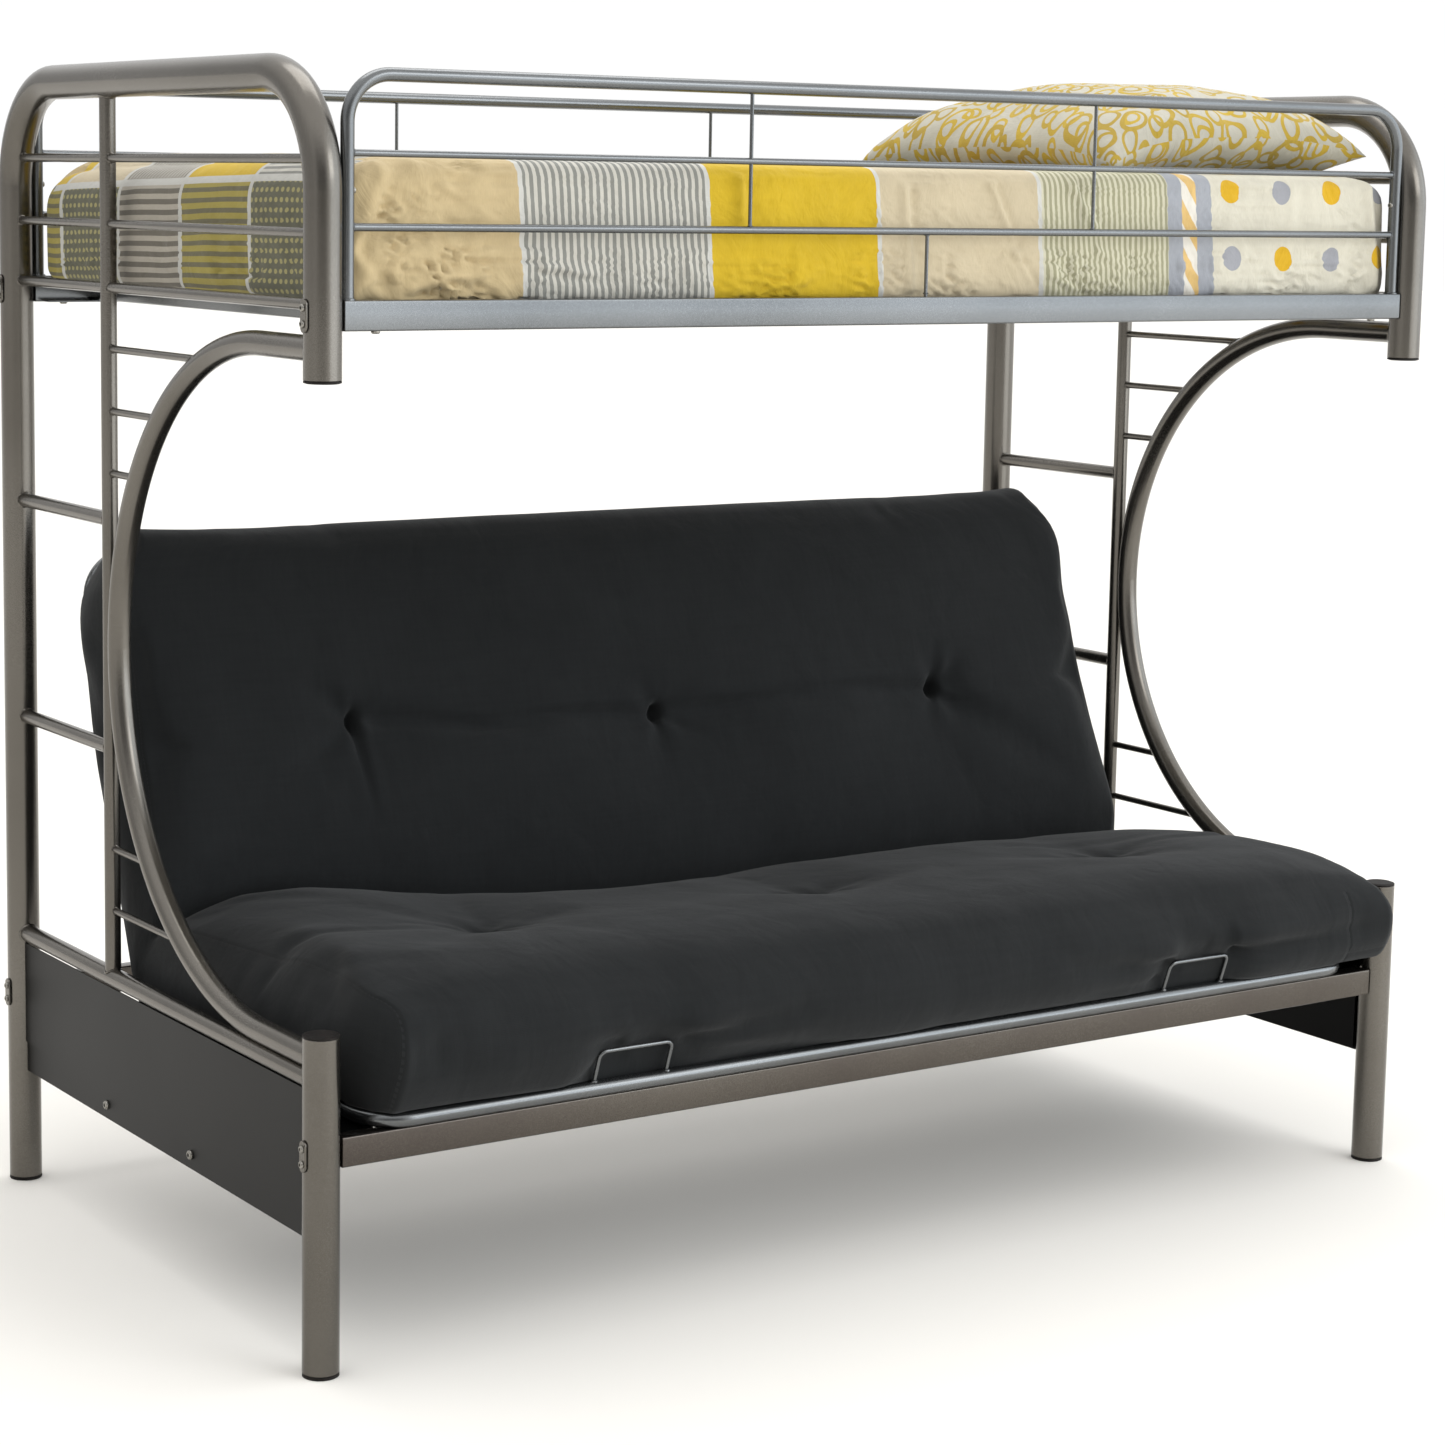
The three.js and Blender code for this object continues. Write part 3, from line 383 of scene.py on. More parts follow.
class Shell:
    """The bodies of one piece."""
    def __init__(self):
        self.verts, self.faces, self.slots = [], [], []

    def add(self, verts, faces, slot=0):
        base = len(self.verts)
        self.verts.extend(tuple(v) for v in verts)
        self.faces.extend([base + i for i in face] for face in faces)
        self.slots.extend([slot] * len(faces))

    def piece(self, name, materials, node_name=None, body="frame"):
        obj = mesh_object(name, self.verts, self.faces, materials, self.slots)
        obj.data.validate()
        obj.data.set_sharp_from_angle(angle=math.radians(40))
        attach(obj, body)
        if node_name:
            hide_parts(node_name)


def route(corners, bend, steps):
    """Straight runs between the corners, each corner rounded to one radius."""
    corners = [Vector(c) for c in corners]
    points = [corners[0]]
    for a, b, c in zip(corners, corners[1:], corners[2:]):
        u, w = (b - a).normalized(), (c - b).normalized()
        turn = u.angle(w)
        start = b - u * bend * math.tan(turn / 2)
        side = (w - u * u.dot(w)).normalized()
        for k in range(steps + 1):
            t = turn * k / steps
            points.append(start + u * bend * math.sin(t) + side * bend * (1 - math.cos(t)))
    return points + [corners[-1]]


def tube_faces(rings, size, closed=False):
    """Quads between rings of points, and a face on each open end."""
    faces = []
    for i in range(rings if closed else rings - 1):
        a, b = i * size, (i + 1) % rings * size
        for k in range(size):
            n = (k + 1) % size
            faces.append((a + k, a + n, b + n, b + k))
    if not closed:
        faces += [tuple(range(size - 1, -1, -1)), tuple(range((rings - 1) * size, rings * size))]
    return faces


def sweep(shell, points, radius, sides=24, closed=False, wobble=0.0):
    """A round bar along the points, with eased ends."""
    ease = 0.0010
    points = [Vector(p) for p in points]
    radii = [radius] * len(points)
    if not closed:
        first = (points[1] - points[0]).normalized() * ease
        last = (points[-2] - points[-1]).normalized() * ease
        points = [points[0], points[0] + first] + points[1:-1] + [points[-1] + last, points[-1]]
        radii = [radius - ease] + [radius] * (len(points) - 2) + [radius - ease]
    count = len(points)
    tangents = []
    for i in range(count):
        before, after = points[i - 1] if closed or i else points[i], points[(i + 1) % count]
        if not closed and i == count - 1:
            after = points[i]
        tangents.append((after - before).normalized())
    side = tangents[0].orthogonal().normalized()
    verts = []
    for i in range(count):
        side = (side - tangents[i] * side.dot(tangents[i])).normalized()
        other = tangents[i].cross(side)
        for k in range(sides):
            angle = 2 * math.pi * k / sides
            r = radii[i]
            if wobble:
                r *= 1 + wobble * noise.noise(points[i] * 700 + Vector((0, 0, k * 0.4)))
            verts.append(points[i] + side * r * math.cos(angle) + other * r * math.sin(angle))
    shell.add(verts, tube_faces(count, sides, closed))


def bead(shell, on, x, y, z, reach, size, steps, sides=8, wobble=0.5):
    """A bead round a bar's foot. on gives the point for x, y and z."""
    angles = np.linspace(0, 2 * math.pi, steps, endpoint=False)
    loop = [on(x + reach * math.cos(a), y + reach * math.sin(a), z) for a in angles]
    sweep(shell, loop, size, sides, closed=True, wobble=wobble)


def weld(shell, start, heading, radius, host, host_axis, host_radius, size=0.0019, steps=30):
    """A bead where a bar that runs from start along heading meets a round host."""
    d, h = Vector(heading).normalized(), Vector(host_axis).normalized()
    e1 = d.orthogonal().normalized()
    e2 = d.cross(e1)
    loop = []
    for k in range(steps):
        angle = 2 * math.pi * k / steps
        q = Vector(start) + (e1 * math.cos(angle) + e2 * math.sin(angle)) * radius
        w = q - Vector(host)
        w_flat, d_flat = w - h * w.dot(h), d - h * d.dot(h)
        a, b, c = d_flat.length_squared, w_flat.dot(d_flat), w_flat.length_squared - host_radius ** 2
        root = b * b - a * c
        if root < 0:
            return
        loop.append(q + d * ((-b - math.sqrt(root)) / a))
    sweep(shell, loop, size, 8, closed=True, wobble=0.5)


def box_bar(shell, low, high, axis, rounding=0.0025):
    """A rectangular tube along one axis, with rounded long edges and eased ends."""
    low, high = Vector(low), Vector(high)
    across = [k for k in range(3) if k != axis]
    half = [(high[k] - low[k]) / 2 for k in across]
    middle = (low + high) / 2
    outline = []
    for corner, (sx, sy) in enumerate(((1, 1), (-1, 1), (-1, -1), (1, -1))):
        for k in range(5):
            angle = math.pi / 2 * (corner + k / 4)
            outline.append(((half[0] - rounding) * sx + rounding * math.cos(angle),
                            (half[1] - rounding) * sy + rounding * math.sin(angle)))
    ease = 0.0008
    start, end = low[axis], high[axis]
    verts = []
    for place, inset in ((start, ease), (start + ease, 0), (end - ease, 0), (end, ease)):
        for p, q in outline:
            v = middle.copy()
            v[axis] = place
            v[across[0]] += p * (1 - inset / half[0])
            v[across[1]] += q * (1 - inset / half[1])
            verts.append(v)
    faces = tube_faces(4, len(outline))
    if axis == 1:
        faces = [tuple(reversed(face)) for face in faces]
    shell.add(verts, faces)


def bolt(shell, centre, axis, radius, height, slot=0):
    """A domed head with a six-sided socket."""
    axis = Vector(axis).normalized()
    turn = Vector((0, 0, 1)).rotation_difference(axis)
    sides = 24
    verts = []
    rows = ((1.0, 0.0, 0), (1.0, 0.35, 0), (0.93, 0.72, 0), (0.74, 0.95, 0), (0.56, 1.0, 0),
            (0.40, 1.0, 1), (0.38, 0.45, 1))
    for share, lift, six in rows:
        for k in range(sides):
            angle = 2 * math.pi * k / sides
            r = radius * share
            if six:
                r /= math.cos((angle % (math.pi / 3)) - math.pi / 6)
            place = Vector((r * math.cos(angle), r * math.sin(angle), height * lift))
            verts.append(Vector(centre) + turn @ place)
    shell.add(verts, tube_faces(len(rows), sides), slot)


def slab(shell, outline, axis_x, axis_y, origin, normal, depth):
    """A flat plate with eased edges: outline in its own plane, pushed along normal."""
    centre = (sum(p for p, _ in outline) / len(outline), sum(q for _, q in outline) / len(outline))
    ease = 0.0006
    verts = []
    for lift, inset in ((0.0, 0.0), (depth - ease, 0.0), (depth, ease)):
        for p, q in outline:
            away = math.hypot(p - centre[0], q - centre[1])
            share = 1 - inset / away
            verts.append(Vector(origin) + Vector(axis_x) * (centre[0] + (p - centre[0]) * share)
                         + Vector(axis_y) * (centre[1] + (q - centre[1]) * share) + Vector(normal) * lift)
    faces = tube_faces(3, len(outline))
    if Vector(axis_x).cross(Vector(axis_y)).dot(Vector(normal)) < 0:
        faces = [tuple(reversed(face)) for face in faces]
    shell.add(verts, faces)


def hoop_reach(z):
    """How far from the middle the inner side of the hoop is at this height."""
    rise = z - (HOOP_Z - HOOP_BEND)
    if rise <= 0:
        return POST_Y
    return POST_Y - HOOP_BEND + math.sqrt(HOOP_BEND ** 2 - rise ** 2)


def hoop_axis(z, side):
    rise = z - (HOOP_Z - HOOP_BEND)
    angle = math.asin(max(rise, 0) / HOOP_BEND)
    return Vector((0, -side * math.sin(angle), math.cos(angle)))


# End frames
def build_end(name, side):
    x = side * POST_X
    stretch = 0.016

    hoop = Shell()
    sweep(hoop, route([at(x, POST_Y, FOOT), at(x, POST_Y, HOOP_Z), at(x, -POST_Y, HOOP_Z),
                       at(x, -POST_Y, UPPER_END + CAP + 0.0003)], HOOP_BEND, 18), POST_R, 40)
    hoop.piece(f"hoop_{name}", [silver_warm_tinted_ends], f"hoop_post_{name}")

    leg = Shell()
    sweep(leg, [at(x, -POST_Y, FOOT), at(x, -POST_Y, LOWER_END - CAP - 0.0003)], POST_R, 40)
    leg.piece(f"leg_{name}", [silver_warm_tinted_ends], f"front_leg_{name}")

    arc = Shell()
    end_y = -POST_Y + stretch
    sweep(arc, route([at(x, end_y, ARC_TOP), at(x, ARC_BACK, ARC_TOP), at(x, ARC_BACK, ARC_LOW),
                      at(x, end_y, ARC_LOW)], ARC_BEND, 44), ARC_R, 32)
    for z in (ARC_TOP, ARC_LOW):
        weld(arc, at(x, -0.40, z), (0, -1, 0), ARC_R, at(x, -POST_Y, z), (0, 0, 1), POST_R, 0.0022)
    arc.piece(f"arc_{name}", [silver_warm_tinted_ends], f"arc_tube_{name}")

    ladder = Shell()
    sweep(ladder, [at(x, LADDER_Y, PANEL_TUBE_Z + 0.009), at(x, LADDER_Y, HOOP_Z - 0.018)], LADDER_R)
    for start, way, z, r in ((1.5, 1, HOOP_Z, POST_R), (0.5, -1, PANEL_TUBE_Z, PANEL_TUBE_R)):
        weld(ladder, at(x, LADDER_Y, start), (0, 0, way), LADDER_R, at(x, LADDER_Y, z), (0, 1, 0), r)
    for z, r in [(z, STEP_R) for z in STEPS] + list(END_BARS.values()):
        reach = hoop_reach(z)
        sweep(ladder, [at(x, LADDER_Y, z), at(x, reach - 0.012, z)], r, 20)
        weld(ladder, at(x, 0.26, z), (0, -1, 0), r, at(x, LADDER_Y, z), (0, 0, 1), LADDER_R, 0.0015)
        weld(ladder, at(x, 0.26, z), (0, 1, 0), r, at(x, reach, z), hoop_axis(z, 1), POST_R, 0.0018)
    for z in SHORT_RUNGS:
        angle = math.asin((z - ARC_MID_Z) / ARC_BEND)
        touch = ARC_MID_Y + ARC_BEND * math.cos(angle)
        sweep(ladder, [at(x, LADDER_Y, z), at(x, touch, z)], RUNG_R, 16)
        weld(ladder, at(x, touch + 0.05, z), (0, 1, 0), RUNG_R, at(x, LADDER_Y, z), (0, 0, 1),
             LADDER_R, 0.0012)
        weld(ladder, at(x, min(touch + 0.06, LADDER_Y), z), (0, -1, 0), RUNG_R, at(x, touch, z),
             (0, -math.sin(angle), math.cos(angle)), ARC_R, 0.0012)
    ladder.piece(f"ladder_frame_{name}", [silver_warm_tinted_ends], f"ladder_{name}")

    for key, (z, r) in END_BARS.items():
        bar = Shell()
        reach = -hoop_reach(z)
        sweep(bar, [at(x, reach + 0.012, z), at(x, LADDER_Y - 0.006, z)], r, 20)
        weld(bar, at(x, 0.0, z), (0, -1, 0), r, at(x, reach, z), hoop_axis(z, -1), POST_R, 0.0018)
        weld(bar, at(x, 0.0, z), (0, 1, 0), r, at(x, LADDER_Y, z), (0, 0, 1), LADDER_R, 0.0015)
        bar.piece(f"end_rail_{key}_{name}", [silver_warm_tinted_ends], f"end_bar_{key}_{name}")

    low = Shell()
    sweep(low, [at(x, -POST_Y + stretch, PANEL_TUBE_Z), at(x, POST_Y - stretch, PANEL_TUBE_Z)],
          PANEL_TUBE_R, 28)
    for sign in (-1, 1):
        weld(low, at(x, 0, PANEL_TUBE_Z), (0, sign, 0), PANEL_TUBE_R, at(x, sign * POST_Y, PANEL_TUBE_Z),
             (0, 0, 1), POST_R, 0.0022)
    low.piece(f"low_cross_tube_{name}", [silver_warm_tinted_ends], f"panel_tube_{name}")


def build_bolt_plate(level, place, name, side, y, z):
    plate = Shell()
    x = side * (POST_X + POST_R + 0.0003)
    outline = [(0.0075 * math.cos(a), 0.0145 + 0.0075 * math.sin(a)) for a in np.linspace(0, math.pi, 9)]
    outline += [(-p, -q) for p, q in outline]
    slab(plate, outline, (0, 1, 0), (0, 0, 1), at(x, y, z), (side, 0, 0), 0.003)
    for end in (-1, 1):
        bolt(plate, at(x + side * 0.003, y, z + end * 0.0105), (side, 0, 0), 0.0052, 0.0033, 1)
    where = f"{level}_{place}_{name}"
    plate.piece(f"plate_{where}", [silver_warm_tinted_ends, zinc], f"bolt_plate_{where}")


for name, side in SIDES:
    build_end(name, side)
    for place, y in (("front", -POST_Y), ("rear", POST_Y)):
        build_bolt_plate("upper", place, name, side, y, RAIL_TOP - RAIL_H / 2)
        build_bolt_plate("lower", place, name, side, y, BEAM_TOP - BEAM_H / 2)


# Long members
def build_long_members(place, sign):
    y = sign * POST_Y
    low_y, high_y = y - RAIL_T / 2, y + RAIL_T / 2

    rail = Shell()
    box_bar(rail, at(-RAIL_X, low_y, RAIL_TOP - RAIL_H), at(RAIL_X, high_y, RAIL_TOP), 0)
    inner = sign * (POST_Y - RAIL_T / 2)
    ledge = sorted((inner - sign * 0.022, inner + sign * 0.003))
    box_bar(rail, at(-RAIL_X + 0.012, ledge[0], RAIL_TOP - RAIL_H), at(RAIL_X - 0.012, ledge[1],
            RAIL_TOP - RAIL_H + 0.003), 0, 0.0008)
    for x in (-RAIL_BOLT_X, RAIL_BOLT_X):
        bolt(rail, at(x, y, RAIL_TOP - RAIL_H), (0, 0, -1), 0.0060, 0.0040, 1)
    rail.piece(f"side_rail_{place}", [silver, zinc], f"upper_rail_{place}")

    beam = Shell()
    box_bar(beam, at(-RAIL_X, low_y, BEAM_TOP - BEAM_H), at(RAIL_X, high_y, BEAM_TOP), 0)
    # the beams take the darkened silver copy, a painted shade
    beam.piece(f"beam_{place}", [silver_shaded_low], f"sofa_beam_{place}")

    guard = Shell()
    foot = RAIL_TOP - 0.001
    corners = ((-GUARD_X, foot), (-GUARD_X, GUARD_TOP), (GUARD_X, GUARD_TOP), (GUARD_X, foot))
    sweep(guard, route([at(x, y, z) for x, z in corners], GUARD_BEND, 16), GUARD_R)
    for side in (-1, 1):
        bead(guard, at, side * GUARD_X, y, RAIL_TOP + 0.0006, 0.0098, 0.0017, 28)
        inside = side * (GUARD_X - GUARD_R * 0.9)
        bolt(guard, at(inside, y, GUARD_BOLT_Z), (-side, 0, 0), 0.0045, 0.003, 1)
    guard.piece(f"guard_tube_{place}", [silver, zinc], f"guard_frame_{place}")

    bars = Shell()
    for z, r in GUARD_BARS:
        sweep(bars, [at(-GUARD_X, y, z), at(GUARD_X, y, z)], r, 20)
        for side in (-1, 1):
            weld(bars, at(0.9 * side, y, z), (side, 0, 0), r, at(side * GUARD_X, y, z), (0, 0, 1),
                 GUARD_R, 0.0013)
    low_bar = GUARD_BARS[1][0]
    for x, low, high in ((-GUARD_ROD_X, low_bar, GUARD_TOP), (GUARD_ROD_X, low_bar, GUARD_TOP),
                         (0.0, foot, low_bar)):
        sweep(bars, [at(x, y, low), at(x, y, high)], ROD_R, 12)
        for z in (low + 0.0055, high - 0.0055):
            bead(bars, at, x, y, z, 0.0031, 0.0011, 16, 6)
    bars.piece(f"guard_rods_{place}", [silver], f"guard_bars_{place}")


for place, sign in (("front", -1), ("rear", 1)):
    build_long_members(place, sign)

for i in range(8):
    slat = Shell()
    middle = SLAT_SPAN * (i / 7 - 0.5)
    reach = POST_Y - RAIL_T / 2 - 0.0003
    box_bar(slat, at(middle - SLAT_W / 2, -reach, SLAT_LOW),
            at(middle + SLAT_W / 2, reach, SLAT_LOW + SLAT_H), 1, 0.003)
    slat.piece(f"slat_{i + 1}", [silver], f"bed_slat_{i + 1}")


# Decks of the sofa bed, in the plane of each deck: x, distance from the hinge line, height above the plane
def deck_point(lean):
    turn = Matrix.Rotation(lean, 3, "X")
    return lambda x, y, z: HINGE + turn @ Vector((x, y, z))


def build_deck(name, body, node_name, lean, near, far, bend, lug_x, loops):
    on = deck_point(lean)
    deck = Shell()
    corners = ((-DECK_X, near), (-DECK_X, far), (DECK_X, far), (DECK_X, near))
    sweep(deck, route([on(x, y, 0) for x, y in corners], bend, 14), DECK_R)
    sweep(deck, [on(-DECK_X, near, 0), on(DECK_X, near, 0)], DECK_R)
    along = on(0, 1, 0) - on(0, 0, 0)
    across = Vector((1, 0, 0))
    heading = math.copysign(1, far - near)
    for i in range(DECK_RODS):
        x = (2 * DECK_X / (DECK_RODS + 1)) * (i - DECK_RODS // 2)
        sweep(deck, [on(x, near, 0), on(x, far, 0)], DECK_ROD_R, 12)
        for y, sense in ((near, -heading), (far, heading)):
            start = on(x, (near + far) / 2, 0)
            weld(deck, start, along * sense, DECK_ROD_R, on(x, y, 0), across, DECK_R, 0.0012, 16)
    for sign in (-1, 1):
        x = sign * lug_x
        ear = [(math.copysign(0.009, near) * math.cos(a) * -1, 0.009 * math.sin(a))
               for a in np.linspace(-math.pi / 2, math.pi / 2, 11)]
        ear += [(near, 0.009), (near, -0.009)]
        slab(deck, ear, along, on(0, 0, 1) - on(0, 0, 0), on(x - 0.0025, 0, 0), across, 0.005)
    for centre in loops:
        left, right = centre - LOOP_W, centre + LOOP_W
        wire = [on(left, far, 0.006), on(left, far - 0.018, LOOP_H), on(right, far - 0.018, LOOP_H),
                on(right, far, 0.006)]
        sweep(deck, route(wire, 0.011, 8), LOOP_R, 14)
        for x in (left, right):
            bead(deck, on, x, far - 0.002, DECK_R, 0.0038, 0.0018, 18, 8, 0.6)
    deck.piece(name, [silver], node_name, body)


build_deck("seat_frame", "seat", "seat_deck", 0.0, -0.047, -0.710, 0.060, 0.880, LOOP_X)
build_deck("back_frame", "back", "back_deck", LEAN, 0.047, 0.710, 0.075, 0.8855, ())

for name, side in SIDES:
    pin = Shell()
    on = deck_point(LEAN)
    inner, outer = 0.8772, 0.8883
    sweep(pin, [on(side * inner, 0, 0), on(side * outer, 0, 0)], 0.004, 16)
    bolt(pin, on(side * outer, 0, 0), (side, 0, 0), 0.007, 0.003)
    bolt(pin, on(side * inner, 0, 0), (-side, 0, 0), 0.007, 0.003)
    pin.piece(f"pin_{name}", [zinc], f"hinge_pin_{name}", "back")
    heads = Shell()
    for y in SLIDE_BOLT_YS:
        bolt(heads, at(side * SLIDE_BOLT_X, y, SLIDE_BOLT_Z), (side, 0, 0), 0.0072, 0.0045)
    heads.piece(f"slide_bolts_{name}", [zinc])

# Sheet metal and plastic keep their shape, with eased edges
for node_name, node in nodes.items():
    if node_name.startswith(("side_panel", "slide_rail")):
        material, width = gunmetal, 0.0006
    elif node_name.startswith(("front_foot", "rear_foot", "leg_cap", "upper_post_cap")):
        material, width = black, 0.0005
    else:
        continue
    node.data.materials.clear()
    node.data.materials.append(material)
    ease = node.modifiers.new("eased edges", "BEVEL")
    ease.width, ease.segments, ease.limit_method, ease.angle_limit = width, 2, "ANGLE", math.radians(40)


# Soft pieces
def simulate(obj, held, pressure, cap, frames, bending, stretch):
    """Inflates obj as cloth. held is how firmly each point keeps its place, from 0 to 1."""
    mesh = obj.data
    start = np.array([v.co for v in mesh.vertices])
    group = obj.vertex_groups.new(name="held")
    for index, share in enumerate(held):
        if share > 0:
            group.add([index], float(share), "REPLACE")
    cloth = obj.modifiers.new("Cloth", "CLOTH")
    rules = cloth.settings
    rules.quality = 5
    rules.mass = 0.3
    rules.tension_stiffness = rules.compression_stiffness = stretch
    rules.shear_stiffness = stretch * 0.5
    rules.bending_stiffness = bending
    rules.use_pressure = True
    rules.uniform_pressure_force = pressure
    rules.vertex_group_mass = group.name
    rules.effector_weights.gravity = 0
    cloth.point_cache.frame_start, cloth.point_cache.frame_end = 1, frames
    scene = bpy.context.scene
    for number in range(1, frames + 1):
        scene.frame_set(number)
    shaped = obj.evaluated_get(bpy.context.evaluated_depsgraph_get()).to_mesh()
    moved = np.array([v.co for v in shaped.vertices]) - start
    far = np.linalg.norm(moved, axis=1, keepdims=True)
    moved *= np.minimum(1.0, cap / np.maximum(far, 1e-9))
    mesh.vertices.foreach_set("co", (start + moved).ravel())
    obj.modifiers.remove(cloth)
    obj.vertex_groups.remove(group)
    scene.frame_set(1)
    mesh.update()


def subdivide(obj):
    modifier = obj.modifiers.new("finer", "SUBSURF")
    modifier.levels = modifier.render_levels = 1
    fine = bpy.data.meshes.new_from_object(obj.evaluated_get(bpy.context.evaluated_depsgraph_get()))
    obj.modifiers.remove(modifier)
    old = obj.data
    obj.data = fine
    bpy.data.meshes.remove(old)
    obj.data.shade_smooth()


def coords(obj):
    return np.array([v.co for v in obj.data.vertices])


def normals(obj):
    return np.array([v.normal for v in obj.data.vertices])


def set_coords(obj, values):
    obj.data.vertices.foreach_set("co", np.asarray(values, float).ravel())
    obj.data.update()


def noise_at(points, scale, seed):
    offset = Vector((seed * 7.3, seed * 3.1, seed * 5.7))
    s = Vector(scale)
    return np.array([noise.noise(Vector(p) * s + offset) for p in points])


def stroke(flat, a, b, width, taper=0.6):
    """How near each flat point is to the line from a to b, from 1 on it to 0 away, thinning to b."""
    a, b = np.array(a), np.array(b)
    d = b - a
    t = np.clip(((flat - a) @ d) / (d @ d), 0, 1)
    gap = np.linalg.norm(flat - (a + t[:, None] * d), axis=1)
    return np.exp(-(gap / width) ** 2) * (1 - taper * t)


# The sofa mattress: one long boxed cushion, folded at the crease
FOLD_X = [-0.95, -0.87, -0.80, -0.71, -0.65, -0.47, -0.25, -0.14, 0.02, 0.14, 0.43, 0.76, 0.91, 0.95]
FOLD_RISE = [0.040, 0.072, 0.090, 0.088, 0.078, 0.047, 0.022, 0.018, 0.021, 0.027, 0.027, 0.018, 0.008, 0.0]
FRONT_X = [-0.95, -0.88, -0.70, -0.45, 0.0, 0.60, 0.95]
FRONT_RISE = [0.016, 0.022, 0.014, 0.005, 0.0, 0.002, -0.004]
SEAT_TUFTS = ((-0.575, -0.238), (0.022, -0.246), (0.612, -0.255))
BACK_TUFTS = ((-0.561, 0.392), (-0.001, 0.361), (0.576, 0.361))
SEAT_N, BACK_N, DEEP_N, LONG_N = 30, 28, 8, 92
PAD_X, PAD_DEEP = 0.935, 0.135
DECK_TOP = 0.3422


def on_back(v, n):
    """A point v up the leaning back and n in front of it."""
    return (HINGE_Y + LEAN_COS * v - LEAN_SIN * n, HINGE_Z + LEAN_SIN * v + LEAN_COS * n)


def crowded(count, places, width, gain):
    """Shares from 0 to 1 that lie closer together around the given places."""
    t = np.linspace(0, 1, 2001)
    weight = 1 + gain * sum(np.exp(-((t - place) / width) ** 2) for place in places)
    total = np.concatenate([[0], np.cumsum((weight[1:] + weight[:-1]) / 2)])
    return np.interp(np.linspace(0, 1, count + 1), total / total[-1], t)


def resample(points, shares):
    points = np.array(points)
    lengths = np.concatenate([[0], np.cumsum(np.linalg.norm(np.diff(points, axis=0), axis=1))])
    return np.stack([np.interp(np.asarray(shares) * lengths[-1], lengths, points[:, k]) for k in (0, 1)], 1)


SEAT_SHARES = crowded(SEAT_N, (0.455, 1.0), 0.07, 1.6)
BACK_SHARES = crowded(BACK_N, (0.50,), 0.07, 1.8)
TUFT_SHARES = [0.5 + x / (2 * PAD_X) for x in (-0.568, 0.010, 0.594)]
LONG_X = PAD_X * (2 * crowded(LONG_N, TUFT_SHARES + [0.0, 1.0], 0.028, 2.2) - 1)
SEAT_TOP = resample([(-0.532, 0.476), (-0.495, 0.492), (-0.429, 0.504), (-0.316, 0.505), (-0.200, 0.495),
                     (-0.100, 0.482), (0.000, 0.465), (0.060, 0.450), (0.090, 0.432)], SEAT_SHARES)
BACK_FRONT = resample([(0.100, 0.428), on_back(0.092, 0.139), on_back(0.13, 0.1445), on_back(0.35, 0.1475),
                       on_back(0.56, 0.1465), on_back(0.700, 0.1400)], BACK_SHARES)
SEAT_LOW = resample([(-0.5115, 0.3425), (0.100, 0.3430), (0.125, 0.3500), (0.158, 0.3505)], SEAT_SHARES)
BACK_REAR = resample([(0.170, 0.3515), on_back(0.030, 0.0120), on_back(0.700, 0.0120)], BACK_SHARES)
UPPER, LOWER = np.vstack([SEAT_TOP, BACK_FRONT]), np.vstack([SEAT_LOW, BACK_REAR])
DEEP_SHARES = (0, 0.16, 0.32, 0.48, 0.63, 0.76, 0.86, 0.944, 1)
NOSE = resample([UPPER[0], (-0.562, 0.463), (-0.575, 0.434), (-0.569, 0.402), (-0.552, 0.373),
                 (-0.536, 0.357), (-0.518, 0.3505), LOWER[0]], DEEP_SHARES)
NOSE_PRESSED = resample([UPPER[0], (-0.561, 0.462), (-0.566, 0.430), (-0.5375, 0.402), (-0.5235, 0.380),
                         (-0.5145, 0.356), LOWER[0]], DEEP_SHARES)
CREST = resample([BACK_FRONT[-1], on_back(0.729, 0.122), on_back(0.741, 0.095), on_back(0.741, 0.058),
                  on_back(0.727, 0.028), BACK_REAR[-1]], DEEP_SHARES)
RUN = np.concatenate([[0], np.cumsum(np.linalg.norm(np.diff((UPPER + LOWER) / 2, axis=0), axis=1))])
RUN_END = RUN[-1]
BACK_RUN = RUN[SEAT_N + 1]
LAST_N = SEAT_N + 1 + BACK_N


def run_of_seat(y):
    return float(np.interp(y, SEAT_TOP[:, 0], RUN[:SEAT_N + 1]))


def run_of_back(v):
    up = (BACK_FRONT[:, 0] - HINGE_Y) * LEAN_COS + (BACK_FRONT[:, 1] - HINGE_Z) * LEAN_SIN
    return float(np.interp(v, up, RUN[SEAT_N + 1:]))


